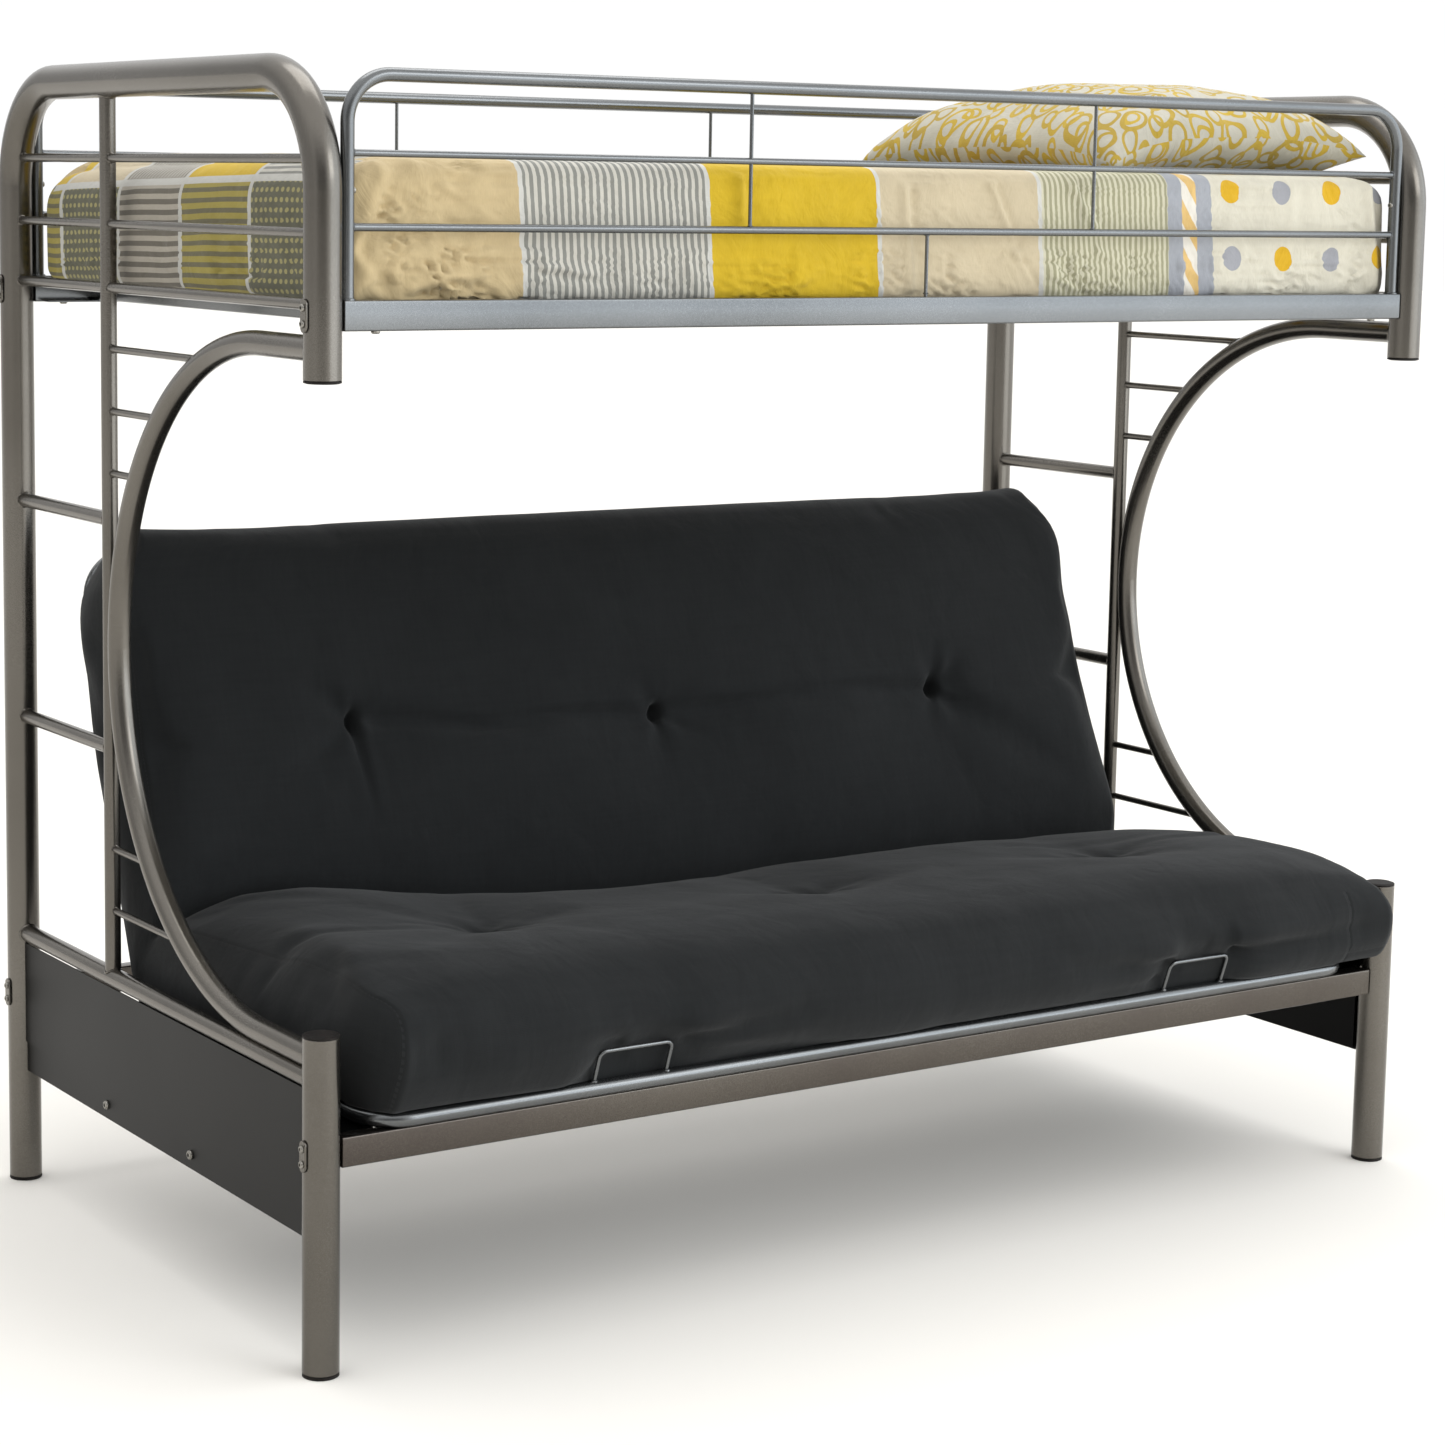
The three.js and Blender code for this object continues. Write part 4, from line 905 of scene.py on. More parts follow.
def futon_point(i, m, j):
    """A point of the cushion at rest: i from front to top, m from left to right, j from face to back."""
    s = LONG_X[m] / PAD_X
    front, rear = RUN[i] + 0.012, RUN_END - RUN[i] + 0.010
    toward_front = min(max(1 - RUN[i] / 0.55, 0), 1)
    half = PAD_X + (0.012 if s > 0 else -0.032) * toward_front
    for gap, radius in ((front, 0.030 if s > 0 else 0.055), (rear, 0.100)):
        if gap < radius:
            half -= radius - math.sqrt(radius ** 2 - (radius - gap) ** 2)
    x = s * half
    depth = j / DEEP_N
    if i == 0:
        pinch = sum(math.exp(-((x - centre) / 0.085) ** 4) for centre in LOOP_X)
        y, z = NOSE[j] * (1 - pinch) + NOSE_PRESSED[j] * pinch
        gape = math.exp(-((x + 0.32) / 0.20) ** 4) * 0.014 + math.exp(-((x - 0.20) / 0.24) ** 4) * 0.006
        z += gape * np.interp(depth, (0.25, 0.6, 0.8, 0.9, 1.0), (0.0, 0.4, 1.0, 0.5, 0.0))
        if s > 0.97:
            x += float(np.interp(depth, (0, 0.15, 0.5, 0.85, 1), (0.006, 0.020, 0.025, 0.021, 0.008)))
    elif i == LAST_N:
        y, z = CREST[j]
    else:
        y, z = UPPER[i] + (LOWER[i] - UPPER[i]) * depth
    if m in (0, LONG_N):
        x += math.copysign(0.011, s) * math.sin(math.pi * depth) ** (0.5 if s > 0 else 1)
    ease = 1 - depth
    if i <= SEAT_N:
        share = max(y + 0.28, 0) / 0.36
        z += np.interp(x, FOLD_X, FOLD_RISE) * share ** 1.6 * ease
        z += np.interp(x, FRONT_X, FRONT_RISE) * (1 - min(share, 1)) * ease
    elif i < SEAT_N + 7:
        lift = np.interp(x, FOLD_X, FOLD_RISE) * (1 - (i - SEAT_N) / 7) * ease
        z += lift
        y += lift * 0.35
    return (x, y + SHIFT, z)


def build_futon():
    index, verts, flats, faces, uvs = {}, [], [], [], []

    def quad(uv, *corners):
        face = []
        for key in corners:
            if key not in index:
                index[key] = len(verts)
                verts.append(futon_point(*key))
                flats.append((LONG_X[key[1]], RUN[key[0]]))
            face.append(index[key])
        faces.append(face)
        uvs.append(uv)

    step, rear_uv = PAD_DEEP / DEEP_N, 3
    for i in range(LAST_N):
        a, b, k = RUN[i], RUN[i + 1], i + 1
        for m in range(LONG_N):
            c, d = LONG_X[m], LONG_X[m + 1]
            quad([(c, a), (d, a), (d, b), (c, b)], (i, m, 0), (i, m + 1, 0), (k, m + 1, 0), (k, m, 0))
            c, d = c + rear_uv, d + rear_uv
            quad([(c, a), (c, b), (d, b), (d, a)],
                 (i, m, DEEP_N), (k, m, DEEP_N), (k, m + 1, DEEP_N), (i, m + 1, DEEP_N))
        for j in range(DEEP_N):
            p, q = 0.94 + j * step, 0.94 + (j + 1) * step
            quad([(-p, a), (-p, b), (-q, b), (-q, a)], (i, 0, j), (k, 0, j), (k, 0, j + 1), (i, 0, j + 1))
            quad([(p, a), (q, a), (q, b), (p, b)],
                 (i, LONG_N, j), (i, LONG_N, j + 1), (k, LONG_N, j + 1), (k, LONG_N, j))
    for m in range(LONG_N):
        a, b = LONG_X[m], LONG_X[m + 1]
        for j in range(DEEP_N):
            p, q = j * step, (j + 1) * step
            quad([(a, -p), (a, -q), (b, -q), (b, -p)],
                 (0, m, j), (0, m, j + 1), (0, m + 1, j + 1), (0, m + 1, j))
            p, q = RUN_END + p, RUN_END + q
            quad([(a, p), (b, p), (b, q), (a, q)],
                 (LAST_N, m, j), (LAST_N, m + 1, j), (LAST_N, m + 1, j + 1), (LAST_N, m, j + 1))
    obj = mesh_object("futon_mattress", verts, faces, [charcoal], None, uvs)

    held = np.zeros(len(verts))
    flat, points = np.array(flats), np.array(verts)
    buried = np.ones(len(verts)) * 9
    for (i, m, j), n in index.items():
        held[n] = 0.05 if j == 0 else 1.0 if j == DEEP_N and i < 3 else 0.60 if j == DEEP_N else 0.12
        if j == 0:
            buried[n] = 0
            if SEAT_N - 1 <= i <= SEAT_N + 2:
                held[n] = 0.9
        if i == 0 and j >= DEEP_N // 2:
            held[n] = 0.75
    tufts = [(x, run_of_seat(y)) for x, y in SEAT_TUFTS] + [(x, run_of_back(v)) for x, v in BACK_TUFTS]
    for x, run in tufts:
        gap = np.linalg.norm(flat - np.array((x, run)), axis=1) + buried
        held[np.argmin(gap)] = 1.0
        depth, inward = (0.013, (0, LEAN_SIN, -LEAN_COS)) if run > BACK_RUN else (0.008, (0, 0, -1))
        points = points + (np.exp(-(gap / 0.050) ** 2)[:, None] * depth) * np.array(inward)
    set_coords(obj, points)
    simulate(obj, held, pressure=3.2, cap=0.018, frames=15, bending=1.2, stretch=22.0)
    subdivide(obj)
    dress_futon(obj, tufts)
    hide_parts("seat_pad", "back_pad")
    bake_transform(obj)


def uv_of_vertices(obj):
    """One flat coordinate per vertex, from its first loop."""
    count = len(obj.data.loops)
    corners = np.zeros(count * 2)
    obj.data.uv_layers["cloth"].data.foreach_get("uv", corners)
    owners = np.zeros(count, dtype=int)
    obj.data.loops.foreach_get("vertex_index", owners)
    flat = np.zeros((len(obj.data.vertices), 2))
    flat[owners[::-1]] = corners.reshape(-1, 2)[::-1]
    return flat


def deck_height(points):
    """The level that the seat deck holds up: its rods, its bent tube, and past the tube a little above it."""
    corner_x, corner_y, bend, radius = 0.844, 0.464, 0.060, 0.0116
    outside, behind = 0.3500, 0.3498
    x, y = np.abs(points[:, 0]), points[:, 1] - SHIFT
    dx, dy = x - corner_x, -y - corner_y
    off = np.where((dx > 0) & (dy > 0), np.hypot(dx, dy), np.maximum(dx, dy)) - bend
    tube = HINGE_Z + np.sqrt(np.maximum(radius ** 2 - off ** 2, 0))
    low = np.where(np.abs(off) < radius, np.maximum(tube, DECK_TOP), np.where(off < 0, DECK_TOP, outside))
    return np.where(y > 0.125, behind, low)


def dress_futon(obj, tufts):
    points, out, flat = coords(obj), normals(obj), uv_of_vertices(obj)
    push = np.zeros(len(points))
    for n, (x, v) in enumerate(tufts):
        dx, dv = flat[:, 0] - x, flat[:, 1] - v
        back = v > BACK_RUN
        slit = np.exp(-(dx / (0.0065 if back else 0.014)) ** 2 - (dv / (0.017 if back else 0.012)) ** 2)
        push -= (0.013 if back else 0.007) * slit
        gap = np.hypot(dx, dv)
        push -= 0.003 * np.exp(-(gap / 0.026) ** 2)
        push += 0.0022 * (np.sin(np.arctan2(dv, dx) * 5 + n * 1.7) * np.exp(-((gap - 0.045) / 0.030) ** 2))
    creases = (
        (3, (0.006, -0.150), 0.007, 0.0085), (3, (-0.004, 0.060), 0.009, 0.0040),
        (4, (0.140, -0.069), 0.008, 0.0075), (4, (0.010, 0.070), 0.010, 0.0035),
        (4, (-0.070, -0.020), 0.010, 0.0025), (5, (0.060, -0.040), 0.008, 0.0065),
        (5, (0.010, 0.090), 0.010, 0.0055), (5, (-0.060, -0.035), 0.010, 0.0025),
        (0, (-0.150, 0.020), 0.011, 0.0050), (0, (0.085, -0.020), 0.010, 0.0040),
        (0, (-0.090, 0.060), 0.010, 0.0030), (1, (-0.120, -0.015), 0.011, 0.0040),
        (1, (0.140, 0.025), 0.011, 0.0035), (2, (-0.140, 0.020), 0.011, 0.0050),
        (2, (0.090, -0.035), 0.010, 0.0040), (2, (-0.100, -0.030), 0.010, 0.0030),
    )
    for tuft, (dx, dv), width, depth in creases:
        x, v = tufts[tuft]
        push -= depth * stroke(flat, (x, v), (x + dx, v + dv), width, 0.85)
        push += depth * 0.55 * stroke(flat, (x + 0.016, v - 0.006), (x + dx + 0.016, v + dv - 0.006),
                                      width * 1.5, 0.85)
    # folds on the front and the ends, where the wire loops and the corners gather the cover
    gathers = (
        ((0.622, -0.066), (0.905, -0.050), 0.0090, 0.0230),
        ((0.490, -0.070), (0.280, -0.048), 0.011, 0.0180),
        ((0.480, -0.090), (0.340, -0.085), 0.008, 0.0080),
        ((0.560, -0.052), (0.420, -0.030), 0.012, 0.0045),
        ((-0.435, -0.072), (-0.220, -0.050), 0.011, 0.0160),
        ((-0.430, -0.092), (-0.300, -0.090), 0.008, 0.0060),
        ((-0.560, -0.066), (-0.700, -0.050), 0.010, 0.0060),
        ((-0.500, -0.052), (-0.600, -0.030), 0.012, 0.0035),
        ((-0.540, -0.086), (-0.640, -0.100), 0.007, 0.0060),
        ((0.520, -0.086), (0.430, -0.104), 0.007, 0.0050),
        ((-0.930, -0.012), (-0.780, 0.012), 0.013, 0.0030),
        ((-0.930, -0.030), (-0.840, -0.060), 0.010, 0.0035),
        ((0.930, -0.020), (0.780, 0.010), 0.012, 0.0030),
        ((-0.900, 0.120), (-0.700, 0.060), 0.018, 0.0025),
        ((-0.900, 0.320), (-0.660, 0.260), 0.015, 0.0035),
        ((0.880, 0.300), (0.660, 0.320), 0.014, 0.0035),
        ((0.500, 0.420), (0.780, 0.360), 0.013, 0.0035),
        ((-0.950, 0.080), (-1.030, 0.100), 0.014, 0.0025),
        ((-0.950, 0.200), (-1.040, 0.180), 0.016, 0.0022),
        ((-0.950, 0.360), (-1.040, 0.330), 0.016, 0.0022),
    )
    for a, b, width, depth in gathers:
        push -= depth * stroke(flat, a, b, width, 0.75)
        push += depth * 0.45 * stroke(flat, (a[0], a[1] + 0.021), (b[0], b[1] + 0.018), width * 1.3, 0.75)
    # sewn edges between the faces and the border
    for edge in (np.abs(np.abs(flat[:, 0]) - 0.9375), np.abs(flat[:, 1]), np.abs(flat[:, 1] - RUN_END)):
        push -= 0.0022 * np.exp(-(edge / 0.006) ** 2) * (flat[:, 0] < 1.2)
    ends = np.clip((np.abs(flat[:, 0]) - 0.80) / 0.12, 0, 1)
    crest = np.clip((flat[:, 1] - RUN_END + 0.10) / 0.08, 0, 1)
    calm = 1 - 0.75 * np.clip(ends + crest, 0, 1)
    push += (0.0042 * noise_at(points, (3.2, 4.0, 4.0), 1) + 0.0018 * noise_at(points, (11, 9, 9), 2)) * calm
    push[(out[:, 2] < -0.95) | (flat[:, 0] > 1.9)] = 0
    points = points + out * push[:, None]
    # the pad's own weight settles its lower front edge on the deck
    front = np.clip((SHIFT - 0.440 - points[:, 1]) / 0.030, 0, 1)
    points[:, 2] -= 0.0090 * (front * np.clip((0.385 - points[:, 2]) / 0.025, 0, 1))
    points[:, 2] = np.maximum(points[:, 2], deck_height(points))
    set_coords(obj, points)


build_futon()


# The upper mattress in its printed cover
def stations(marks, low, high, pitch, border=0.0024):
    """Grid lines: both edges of each white border, and even steps between them."""
    cuts = {low, high}
    for mark in marks:
        cuts.update((mark - border, mark + border))
    cuts = sorted(cuts)
    lines = []
    for a, b in zip(cuts, cuts[1:]):
        count = max(1, round((b - a) / pitch))
        lines += [a + (b - a) * k / count for k in range(count)]
    return lines + [high]


MARKS_X = (-0.675, -0.374, -0.0785, 0.221, 0.471, 0.500, 0.529, 0.560)
MARKS_Y = (-0.240, -0.018, 0.194, 0.405)
BAND = ("blue_grey", "diagonals", "blue_grey")
FRONT_ROW = ("khaki", "grey_lines", "yellow", "beige", "olive_lines", *BAND, "dots")
TOP_ROWS = (
    ("grey_lines", "beige", "olive_lines", "khaki", "dots", *BAND, "grey_lines"),
    ("yellow", "grey_lines", "khaki", "yellow", "beige", *BAND, "olive_lines"),
    ("fine_grey", "yellow", "dots", "olive_lines", "grey_lines", *BAND, "khaki"),
    ("beige", "khaki", "beige", "grey_lines", "yellow", *BAND, "dots"),
    ("yellow", "olive_lines", "grey_lines", "beige", "khaki", *BAND, "yellow"),
)
LEFT_COLUMN = ("dashes", "olive_bars", "grey_bars", "dashes", "olive_bars")
SHOULDER = 0.050
BORDERS_X = MARKS_X[:4]


def on_border(value, marks):
    return any(abs(value - mark) < 0.0025 for mark in marks)


def print_for(zone, x, y, drop):
    column, row = sum(x > mark for mark in MARKS_X), sum(y > mark for mark in MARKS_Y)
    if zone in ("front", "rear"):
        return "white" if on_border(x, BORDERS_X) else FRONT_ROW[column]
    if zone in ("left", "right"):
        if on_border(y, MARKS_Y) or SHOULDER - 0.009 < drop < SHOULDER:
            return "white"
        if drop < SHOULDER:
            return TOP_ROWS[row][0 if zone == "left" else -1]
        return LEFT_COLUMN[row] if zone == "left" else FRONT_ROW[-1]
    if on_border(x, BORDERS_X) or on_border(y, MARKS_Y):
        return "white"
    return FRONT_ROW[column] if y < -0.452 else TOP_ROWS[row][column]


def build_bed_mattress():
    xs = stations(MARKS_X, -BED_X, BED_X, 0.012)
    ys = stations(MARKS_Y, -BED_Y, BED_Y, 0.022)
    long_edge, foot_edge = 0.024, 0.018
    top_z = BED_LOW + BED_H + 0.003

    def plan(x, y, share):
        """A point of the full rectangle, moved onto the rounded plan drawn in by this share of the edges."""
        corner, end_edge = (0.036, 0.052) if x < 0 else (0.020, 0.032)
        half_x, half_y = BED_X - end_edge * share, BED_Y - long_edge * share
        px = abs(x) - end_edge * share * max((abs(x) - BED_X + 0.15) / 0.15, 0) ** 2
        py = abs(y) - long_edge * share * max((abs(y) - BED_Y + 0.08) / 0.08, 0) ** 2
        a, b = (px - (half_x - corner)) / corner, (py - (half_y - corner)) / corner
        if a > 0 and b > 0:
            px = half_x - corner + corner * a * math.sqrt(1 - b * b / 2)
            py = half_y - corner + corner * b * math.sqrt(1 - a * a / 2)
        return math.copysign(px, x), math.copysign(py, y)

    def near_end(x):
        span = 0.12 if x < 0 else 0.06
        return min(max((abs(x) - BED_X + span) / span, 0), 1) ** 2

    def height(x, y):
        fall = 0.004 + 0.024 * (0.5 + y / BED_Y / 2) if x < 0 else 0.012
        return top_z - fall * near_end(x) - 0.006 * abs(y / BED_Y) ** 6

    def edge_drop(x):
        return long_edge + (0.028 if x < 0 else 0.010) * near_end(x)

    verts, faces, slots, uvs = [], [], [], []
    names = list(prints)
    nx, ny = len(xs), len(ys)
    for y in ys:
        for x in xs:
            verts.append((*plan(x, y, 1), height(x, y)))
    rim = [(i, 0) for i in range(nx - 1)] + [(nx - 1, j) for j in range(ny - 1)]
    rim += [(i, ny - 1) for i in range(nx - 1, 0, -1)] + [(0, j) for j in range(ny - 1, 0, -1)]
    rows = [(1 - math.sin(a), 1 - math.cos(a), 0.0) for a in np.linspace(0, math.pi / 2, 8)[1:]]
    rows += [(0.0, 1.0, k / 18) for k in range(1, 19)]
    levels = [[j * nx + i for i, j in rim]]
    for share, drop, fall in rows:
        ring = []
        for i, j in rim:
            shoulder = height(xs[i], ys[j]) - edge_drop(xs[i]) * drop
            z = shoulder + (BED_LOW + foot_edge - shoulder) * fall
            ring.append(len(verts))
            verts.append((*plan(xs[i], ys[j], share), z))
        levels.append(ring)
    for angle in (math.pi / 2 * k / 3 for k in range(1, 4)):
        inset, z = 0.35 * (1 - math.cos(angle)), BED_LOW + foot_edge * (1 - math.sin(angle))
        ring = []
        for i, j in rim:
            ring.append(len(verts))
            verts.append((*plan(xs[i], ys[j], inset), z))
        levels.append(ring)

    def paint(zone, x, y, drop):
        slots.append(names.index(print_for(zone, x, y, drop)))

    for j in range(ny - 1):
        for i in range(nx - 1):
            faces.append((j * nx + i, j * nx + i + 1, (j + 1) * nx + i + 1, (j + 1) * nx + i))
            uvs.append([(xs[i], ys[j]), (xs[i + 1], ys[j]), (xs[i + 1], ys[j + 1]), (xs[i], ys[j + 1])])
            paint("top", (xs[i] + xs[i + 1]) / 2, (ys[j] + ys[j + 1]) / 2, 0)
    drops = [[0.0] * len(rim)]
    for upper, lower in zip(levels, levels[1:]):
        drops.append([fall + math.dist(verts[a], verts[b]) for fall, a, b in zip(drops[-1], upper, lower)])
    for level, (upper, lower) in enumerate(zip(levels, levels[1:])):
        for k in range(len(rim)):
            n = (k + 1) % len(rim)
            (i0, j0), (i1, j1) = rim[k], rim[n]
            faces.append((upper[k], lower[k], lower[n], upper[n]))
            falls = (drops[level][k], drops[level + 1][k], drops[level + 1][n], drops[level][n])
            spots_at = ((i0, j0), (i0, j0), (i1, j1), (i1, j1))
            if j0 == j1:
                zone, sign = ("front", -1) if j0 == 0 else ("rear", 1)
                uvs.append([(xs[i], ys[j] + sign * fall) for (i, j), fall in zip(spots_at, falls)])
            else:
                zone, sign = ("left", -1) if i0 == 0 else ("right", 1)
                uvs.append([(xs[i] + sign * fall, ys[j]) for (i, j), fall in zip(spots_at, falls)])
            paint(zone, (xs[i0] + xs[i1]) / 2, (ys[j0] + ys[j1]) / 2, falls[0])
    last = levels[-1]
    low_ring = []
    for i, j in rim:
        low_ring.append(len(verts))
        px, py = plan(xs[i], ys[j], 1)
        verts.append((px * 0.8, py * 0.6, BED_LOW))
    for k in range(len(rim)):
        n = (k + 1) % len(rim)
        faces.append((last[k], low_ring[k], low_ring[n], last[n]))
        uvs.append([(0, 0)] * 4)
        slots.append(names.index("white"))
    verts = [(x, y + SHIFT, z) for x, y, z in verts]
    obj = mesh_object("bed_mattress", verts, faces, list(prints.values()), slots, uvs)
    subdivide(obj)
    dress_bed(obj, top_z)
    close_below(obj)
    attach(obj, "frame")
    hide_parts("upper_mattress")


def close_below(obj):
    work = bmesh.new()
    work.from_mesh(obj.data)
    made = bmesh.ops.holes_fill(work, edges=[edge for edge in work.edges if edge.is_boundary], sides=0)
    for face in made["faces"]:
        face.material_index = list(prints).index("white")
    bmesh.ops.triangulate(work, faces=made["faces"])
    work.to_mesh(obj.data)
    work.free()


def dress_bed(obj, top_z):
    points, out = coords(obj), normals(obj)
    depth = np.clip((top_z - 0.03 - points[:, 2]) / 0.13, 0, 1)
    side = 1 - np.abs(out[:, 2])
    around = np.where(np.abs(out[:, 1]) > np.abs(out[:, 0]), points[:, 0], points[:, 1])
    flat = np.stack([around, points[:, 2]], 1)
    seeds = np.stack([around, points[:, 2], np.sign(out[:, 1]) + 3 * np.sign(out[:, 0])], 1)
    push = 0.0052 * noise_at(seeds, (9, 5, 1), 4) * side * (0.5 + 0.5 * depth)
    push += 0.0022 * noise_at(seeds, (26, 9, 1), 5) * side * depth
    push += 0.0020 * noise_at(points, (6, 6, 3), 6) * (1 - side)
    front = (out[:, 1] < -0.3) * 1.0
    crumpled = front * np.clip((-0.62 - points[:, 0]) / 0.12, 0, 1)
    ridges = 1 - 2 * np.abs(noise_at(seeds, (17, 21, 1), 11))
    push += 0.0110 * crumpled * (ridges - 0.6) * (0.35 + 0.65 * depth)
    lower = front * np.clip((depth - 0.55) / 0.35, 0, 1)
    push += 0.0040 * lower * ((1 - 2 * np.abs(noise_at(seeds, (16, 12, 1), 12))) - 0.6)
    folds = (
        ((-0.925, 1.500), (-0.880, 1.600), 0.010, 0.0100),
        ((-0.790, 1.585), (-0.690, 1.525), 0.007, 0.0090),
        ((-0.915, 1.490), (-0.885, 1.440), 0.009, 0.0090),
        ((-0.840, 1.450), (-0.740, 1.475), 0.008, 0.0075),
        ((-0.645, 1.480), (-0.560, 1.468), 0.006, 0.0075),
        ((-0.320, 1.595), (-0.315, 1.530), 0.011, 0.0065),
        ((-0.240, 1.450), (-0.190, 1.475), 0.007, 0.0060),
        ((-0.030, 1.590), (-0.028, 1.450), 0.008, 0.0080),
        ((0.130, 1.600), (0.165, 1.520), 0.006, 0.0060),
        ((0.170, 1.500), (0.200, 1.460), 0.005, 0.0055),
        ((0.245, 1.470), (0.290, 1.445), 0.008, 0.0090),
        ((0.285, 1.600), (0.330, 1.540), 0.009, 0.0085),
        ((0.330, 1.505), (0.430, 1.450), 0.006, 0.0065),
        ((0.500, 1.480), (0.570, 1.445), 0.008, 0.0075),
        ((0.905, 1.600), (0.930, 1.450), 0.010, 0.0080),
        ((0.740, 1.600), (0.735, 1.540), 0.010, 0.0030),
    )
    for a, b, width, height in folds:
        push += front * height * stroke(flat, a, b, width, 0.5)
        below = [(x + 0.014, z - 0.008) for x, z in (a, b)]
        push -= front * height * 0.7 * stroke(flat, *below, width * 1.2, 0.5)
    push += 0.013 * (out[:, 0] > 0.5) * (0.3 + 0.7 * depth) * np.clip(1.2 - np.abs(points[:, 1]) / 0.45, 0, 1)
    points = points + out * push[:, None]
    # the cover was pulled a little towards the foot as it was tucked in
    level = np.clip(1 - (np.abs(points[:, 0]) - 0.70) / 0.22, 0, 1)
    points[:, 0] += 0.08 * front * level * np.maximum(top_z - points[:, 2], 0)
    points[:, 2] = np.maximum(points[:, 2], BED_LOW)
    beside = np.maximum(POST_CLEAR ** 2 - (POST_Y - np.abs(points[:, 1] - SHIFT)) ** 2, 0)
    reach = np.minimum(BED_REACH_X, POST_X - np.sqrt(beside))
    points[:, 0] = np.clip(points[:, 0], -reach, reach)
    points[:, 1] = np.clip(points[:, 1], SHIFT - BED_REACH_Y, SHIFT + BED_REACH_Y)
    set_coords(obj, points)


build_bed_mattress()


# The pillow
def build_pillow():
    nx, ny = 40, 48
    half_x, half_y, tallest = 0.278, 0.335, 0.138
    centre = at(0.660, -0.140, BED_LOW + BED_H + 0.0040)
    seam = 0.052
    verts, faces, uvs = [], [], []

    def spot(i, j):
        s, t = 2 * i / nx - 1, 2 * j / ny - 1
        return s, t, s * half_x * (1 - 0.055 * (1 - t ** 4)), t * half_y * (1 - 0.055 * (1 - s ** 4))

    rim = set()
    top, low = {}, {}
    for j in range(ny + 1):
        for i in range(nx + 1):
            s, t, x, y = spot(i, j)
            full = math.sqrt(max(0, (1 - s ** 4) * (1 - t ** 4)))
            edge = i in (0, nx) or j in (0, ny)
            top[i, j] = len(verts)
            rim_z = seam - 0.030 * abs(s * t) ** 3 - 0.010 * max(-s, 0) ** 2
            verts.append((x, y, rim_z + 0.068 * full))
            if edge:
                rim.add(top[i, j])
                low[i, j] = top[i, j]
            else:
                low[i, j] = len(verts)
                verts.append((x, y, max(rim_z - 0.048 * min(1, full * 1.25), 0.001)))
    for j in range(ny):
        for i in range(nx):
            uv = [((a - nx / 2) * 2 * half_x / nx, (b - ny / 2) * 2 * half_y / ny)
                  for a, b in ((i, j), (i + 1, j), (i + 1, j + 1), (i, j + 1))]
            faces.append((top[i, j], top[i + 1, j], top[i + 1, j + 1], top[i, j + 1]))
            uvs.append(uv)
            faces.append((low[i, j], low[i, j + 1], low[i + 1, j + 1], low[i + 1, j]))
            uvs.append([(u + 1.7, v + 0.9) for u, v in (uv[0], uv[3], uv[2], uv[1])])
    obj = mesh_object("bed_pillow", verts, faces, [pillow_print], None, uvs)
    held = [0.35 if n in rim else 0.02 for n in range(len(verts))]
    simulate(obj, held, pressure=2.4, cap=0.034, frames=18, bending=0.6, stretch=12.0)
    subdivide(obj)
    points, out = coords(obj), normals(obj)
    near_rim = np.maximum(np.abs(points[:, 0]) / half_x, np.abs(points[:, 1]) / half_y)
    push = 0.0060 * noise_at(points, (9, 7, 5), 8) + 0.0030 * noise_at(points, (26, 20, 8), 9) * near_rim ** 2
    points = points + out * push[:, None]
    # the ends towards the wall and the foot lie lower than the plump middle
    points[:, 2] -= 0.012 * np.clip(-points[:, 0] / half_x, 0, 1) ** 2
    points[:, 2] = np.clip(points[:, 2], 0.0004, tallest)
    points[:, 0] = np.clip(points[:, 0], -half_x - 0.004, half_x + 0.004)
    set_coords(obj, points + np.array(centre))
    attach(obj, "frame")
    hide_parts("pillow")


build_pillow()


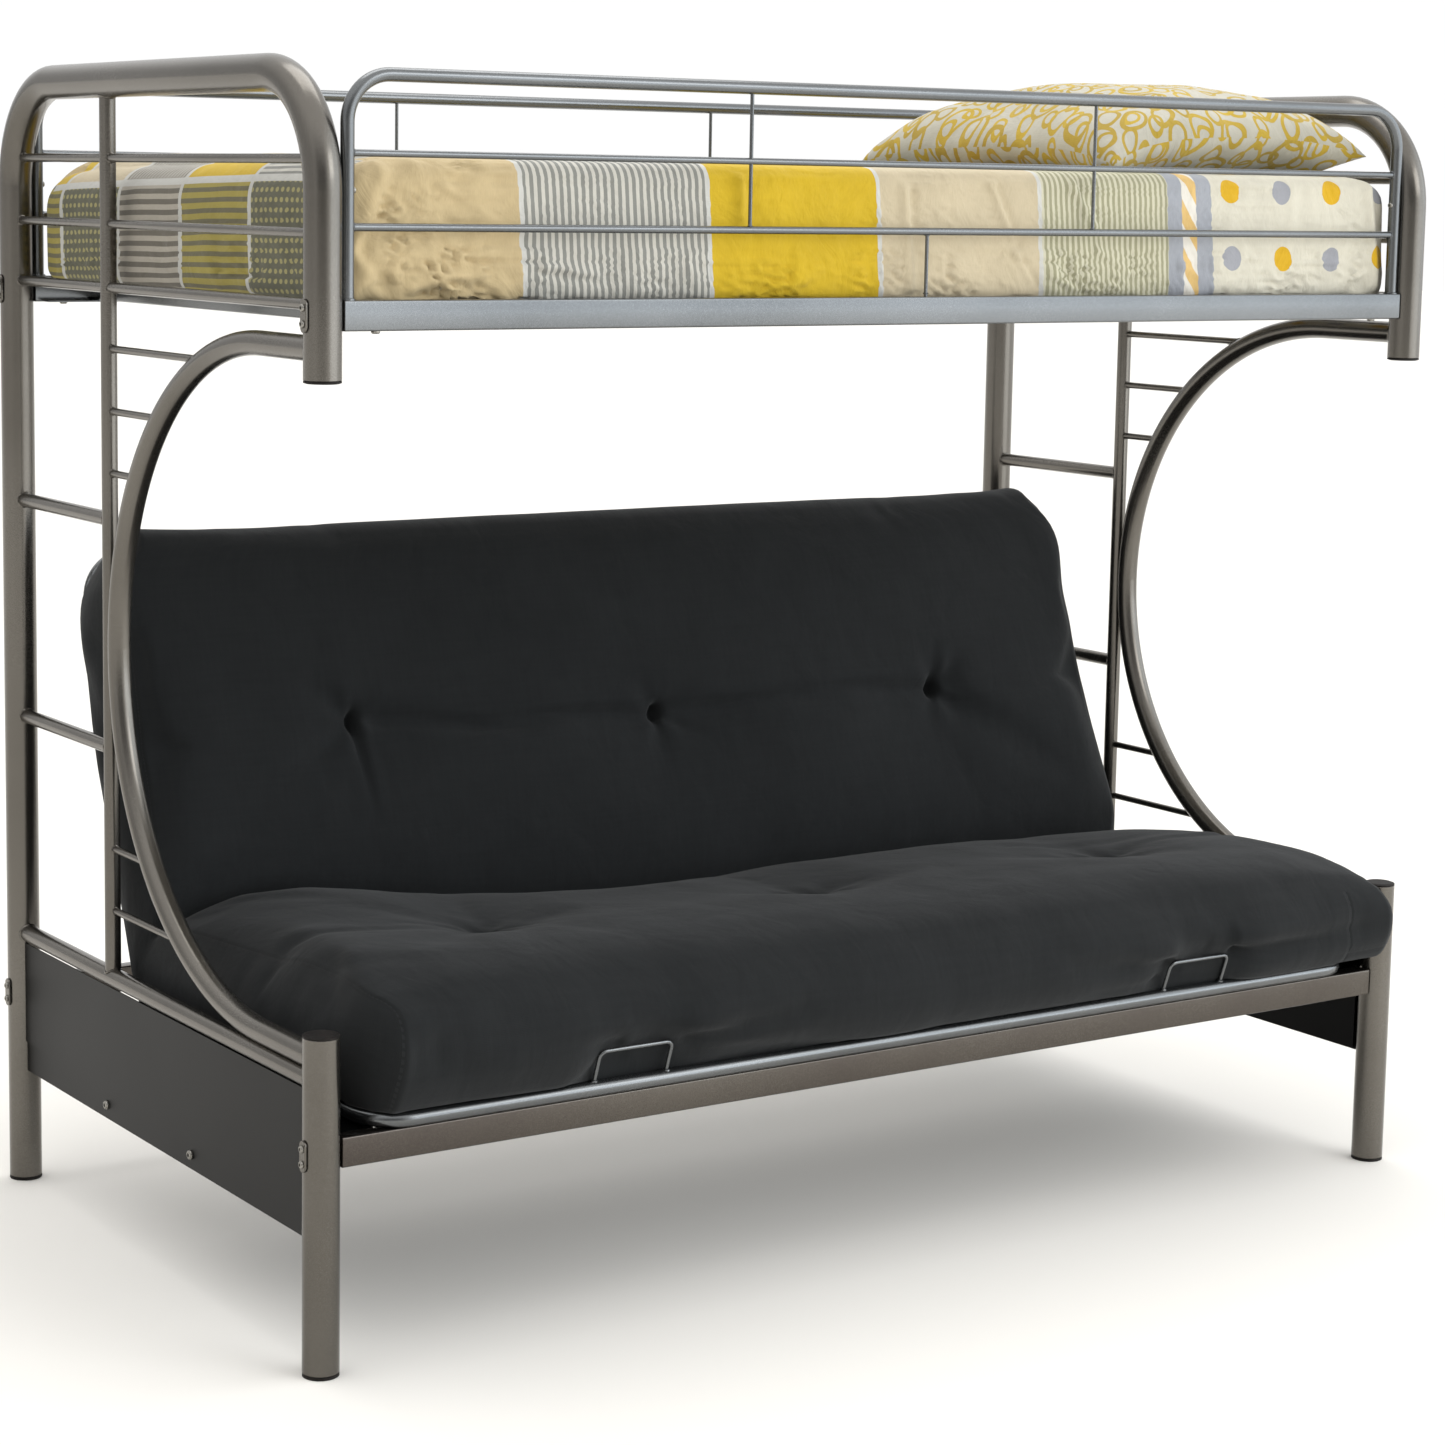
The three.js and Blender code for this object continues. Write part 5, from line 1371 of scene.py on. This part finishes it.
# Stage, light and camera
def build_stage():
    t = Finish("pale floor", "none")
    t.surface(Base_Color=srgb("f0ede7"), Roughness=0.75, Specular_IOR_Level=0.2)
    corners = [(-40, -40, 0), (40, -40, 0), (40, 40, 0), (-40, 40, 0)]
    floor = mesh_object("floor", corners, [(0, 1, 2, 3)], [t.mat])
    floor.location.z = -0.0005

    world = bpy.data.worlds.new("studio")
    bpy.context.scene.world = world
    world.use_nodes = True
    t = Tree(world.node_tree)
    x, y, z = t.split(t.node("ShaderNodeTexCoord").outputs["Generated"])
    angle = t.divide(t.arctan2(y, x), 2 * math.pi)
    cool = (1.06, 1.13, 1.20, 1)
    around = t.ramp(t.add(angle, 0.5), (0.0, 0.32), (0.06, 0.38), (0.12, 0.12), (0.22, 0.10), (0.28, 0.65),
                    (0.33, cool), (0.46, cool), (0.52, 0.45), (0.58, 0.33), (0.61, 0.42), (0.74, 0.42),
                    (0.80, 0.30), (0.92, 0.34), (1.0, 0.32))
    height = t.ramp(z, (0.0, 0.0), (0.30, 0.0), (0.75, 1.0))
    sky = t.nt.nodes["Background"].inputs
    t.feed(sky["Color"], t.mix(height, around, (0.60, 0.60, 0.60, 1)))
    t.feed(sky["Strength"], 2.4)
    bpy.context.scene.view_settings.view_transform = "Standard"


def softbox(name, place, aim, size_x, size_y, power, tint=(1, 1, 1)):
    data = bpy.data.lights.new(name, "AREA")
    data.shape, data.size, data.size_y = "RECTANGLE", size_x, size_y
    data.energy, data.color = power, tint
    lamp = placed(name, data)
    lamp.location = place
    lamp.rotation_euler = (Vector(aim) - Vector(place)).to_track_quat("-Z", "Y").to_euler()


def build_camera():
    data = bpy.data.cameras.new("camera")
    data.sensor_width = 36.0
    frame_size, focal = 1445, 3250.77
    data.lens = data.sensor_width * focal / frame_size
    data.shift_x, data.shift_y = 60 / frame_size, -100 / frame_size
    data.clip_start, data.clip_end = 0.1, 200
    cam = placed("camera", data)
    yaw, pitch, roll = (math.radians(v) for v in (33.3467, -7.6091, 0.9067))
    ahead = Vector((math.sin(yaw) * math.cos(pitch), math.cos(yaw) * math.cos(pitch), math.sin(pitch)))
    right = Vector((math.cos(yaw), -math.sin(yaw), 0))
    up = right.cross(ahead)
    turned_right = right * math.cos(roll) + up * math.sin(roll)
    turned_up = up * math.cos(roll) - right * math.sin(roll)
    turn = Matrix((turned_right, turned_up, -ahead)).transposed()
    cam.matrix_world = Matrix.Translation(at(-2.91362, -4.26090, 1.58705)) @ turn.to_4x4()
    bpy.context.scene.camera = cam


build_stage()
softbox("key", (2.6, -6.0, 4.0), (0, 0, 0.9), 3.4, 2.4, 78)
softbox("card", (2.6, -4.1, 0.95), (0, 0, 1.0), 4.6, 1.2, 24, (0.96, 1.0, 1.04))
softbox("top", (0.0, 0.4, 4.4), (0, 0, 0.6), 3.0, 1.8, 48)
build_camera()
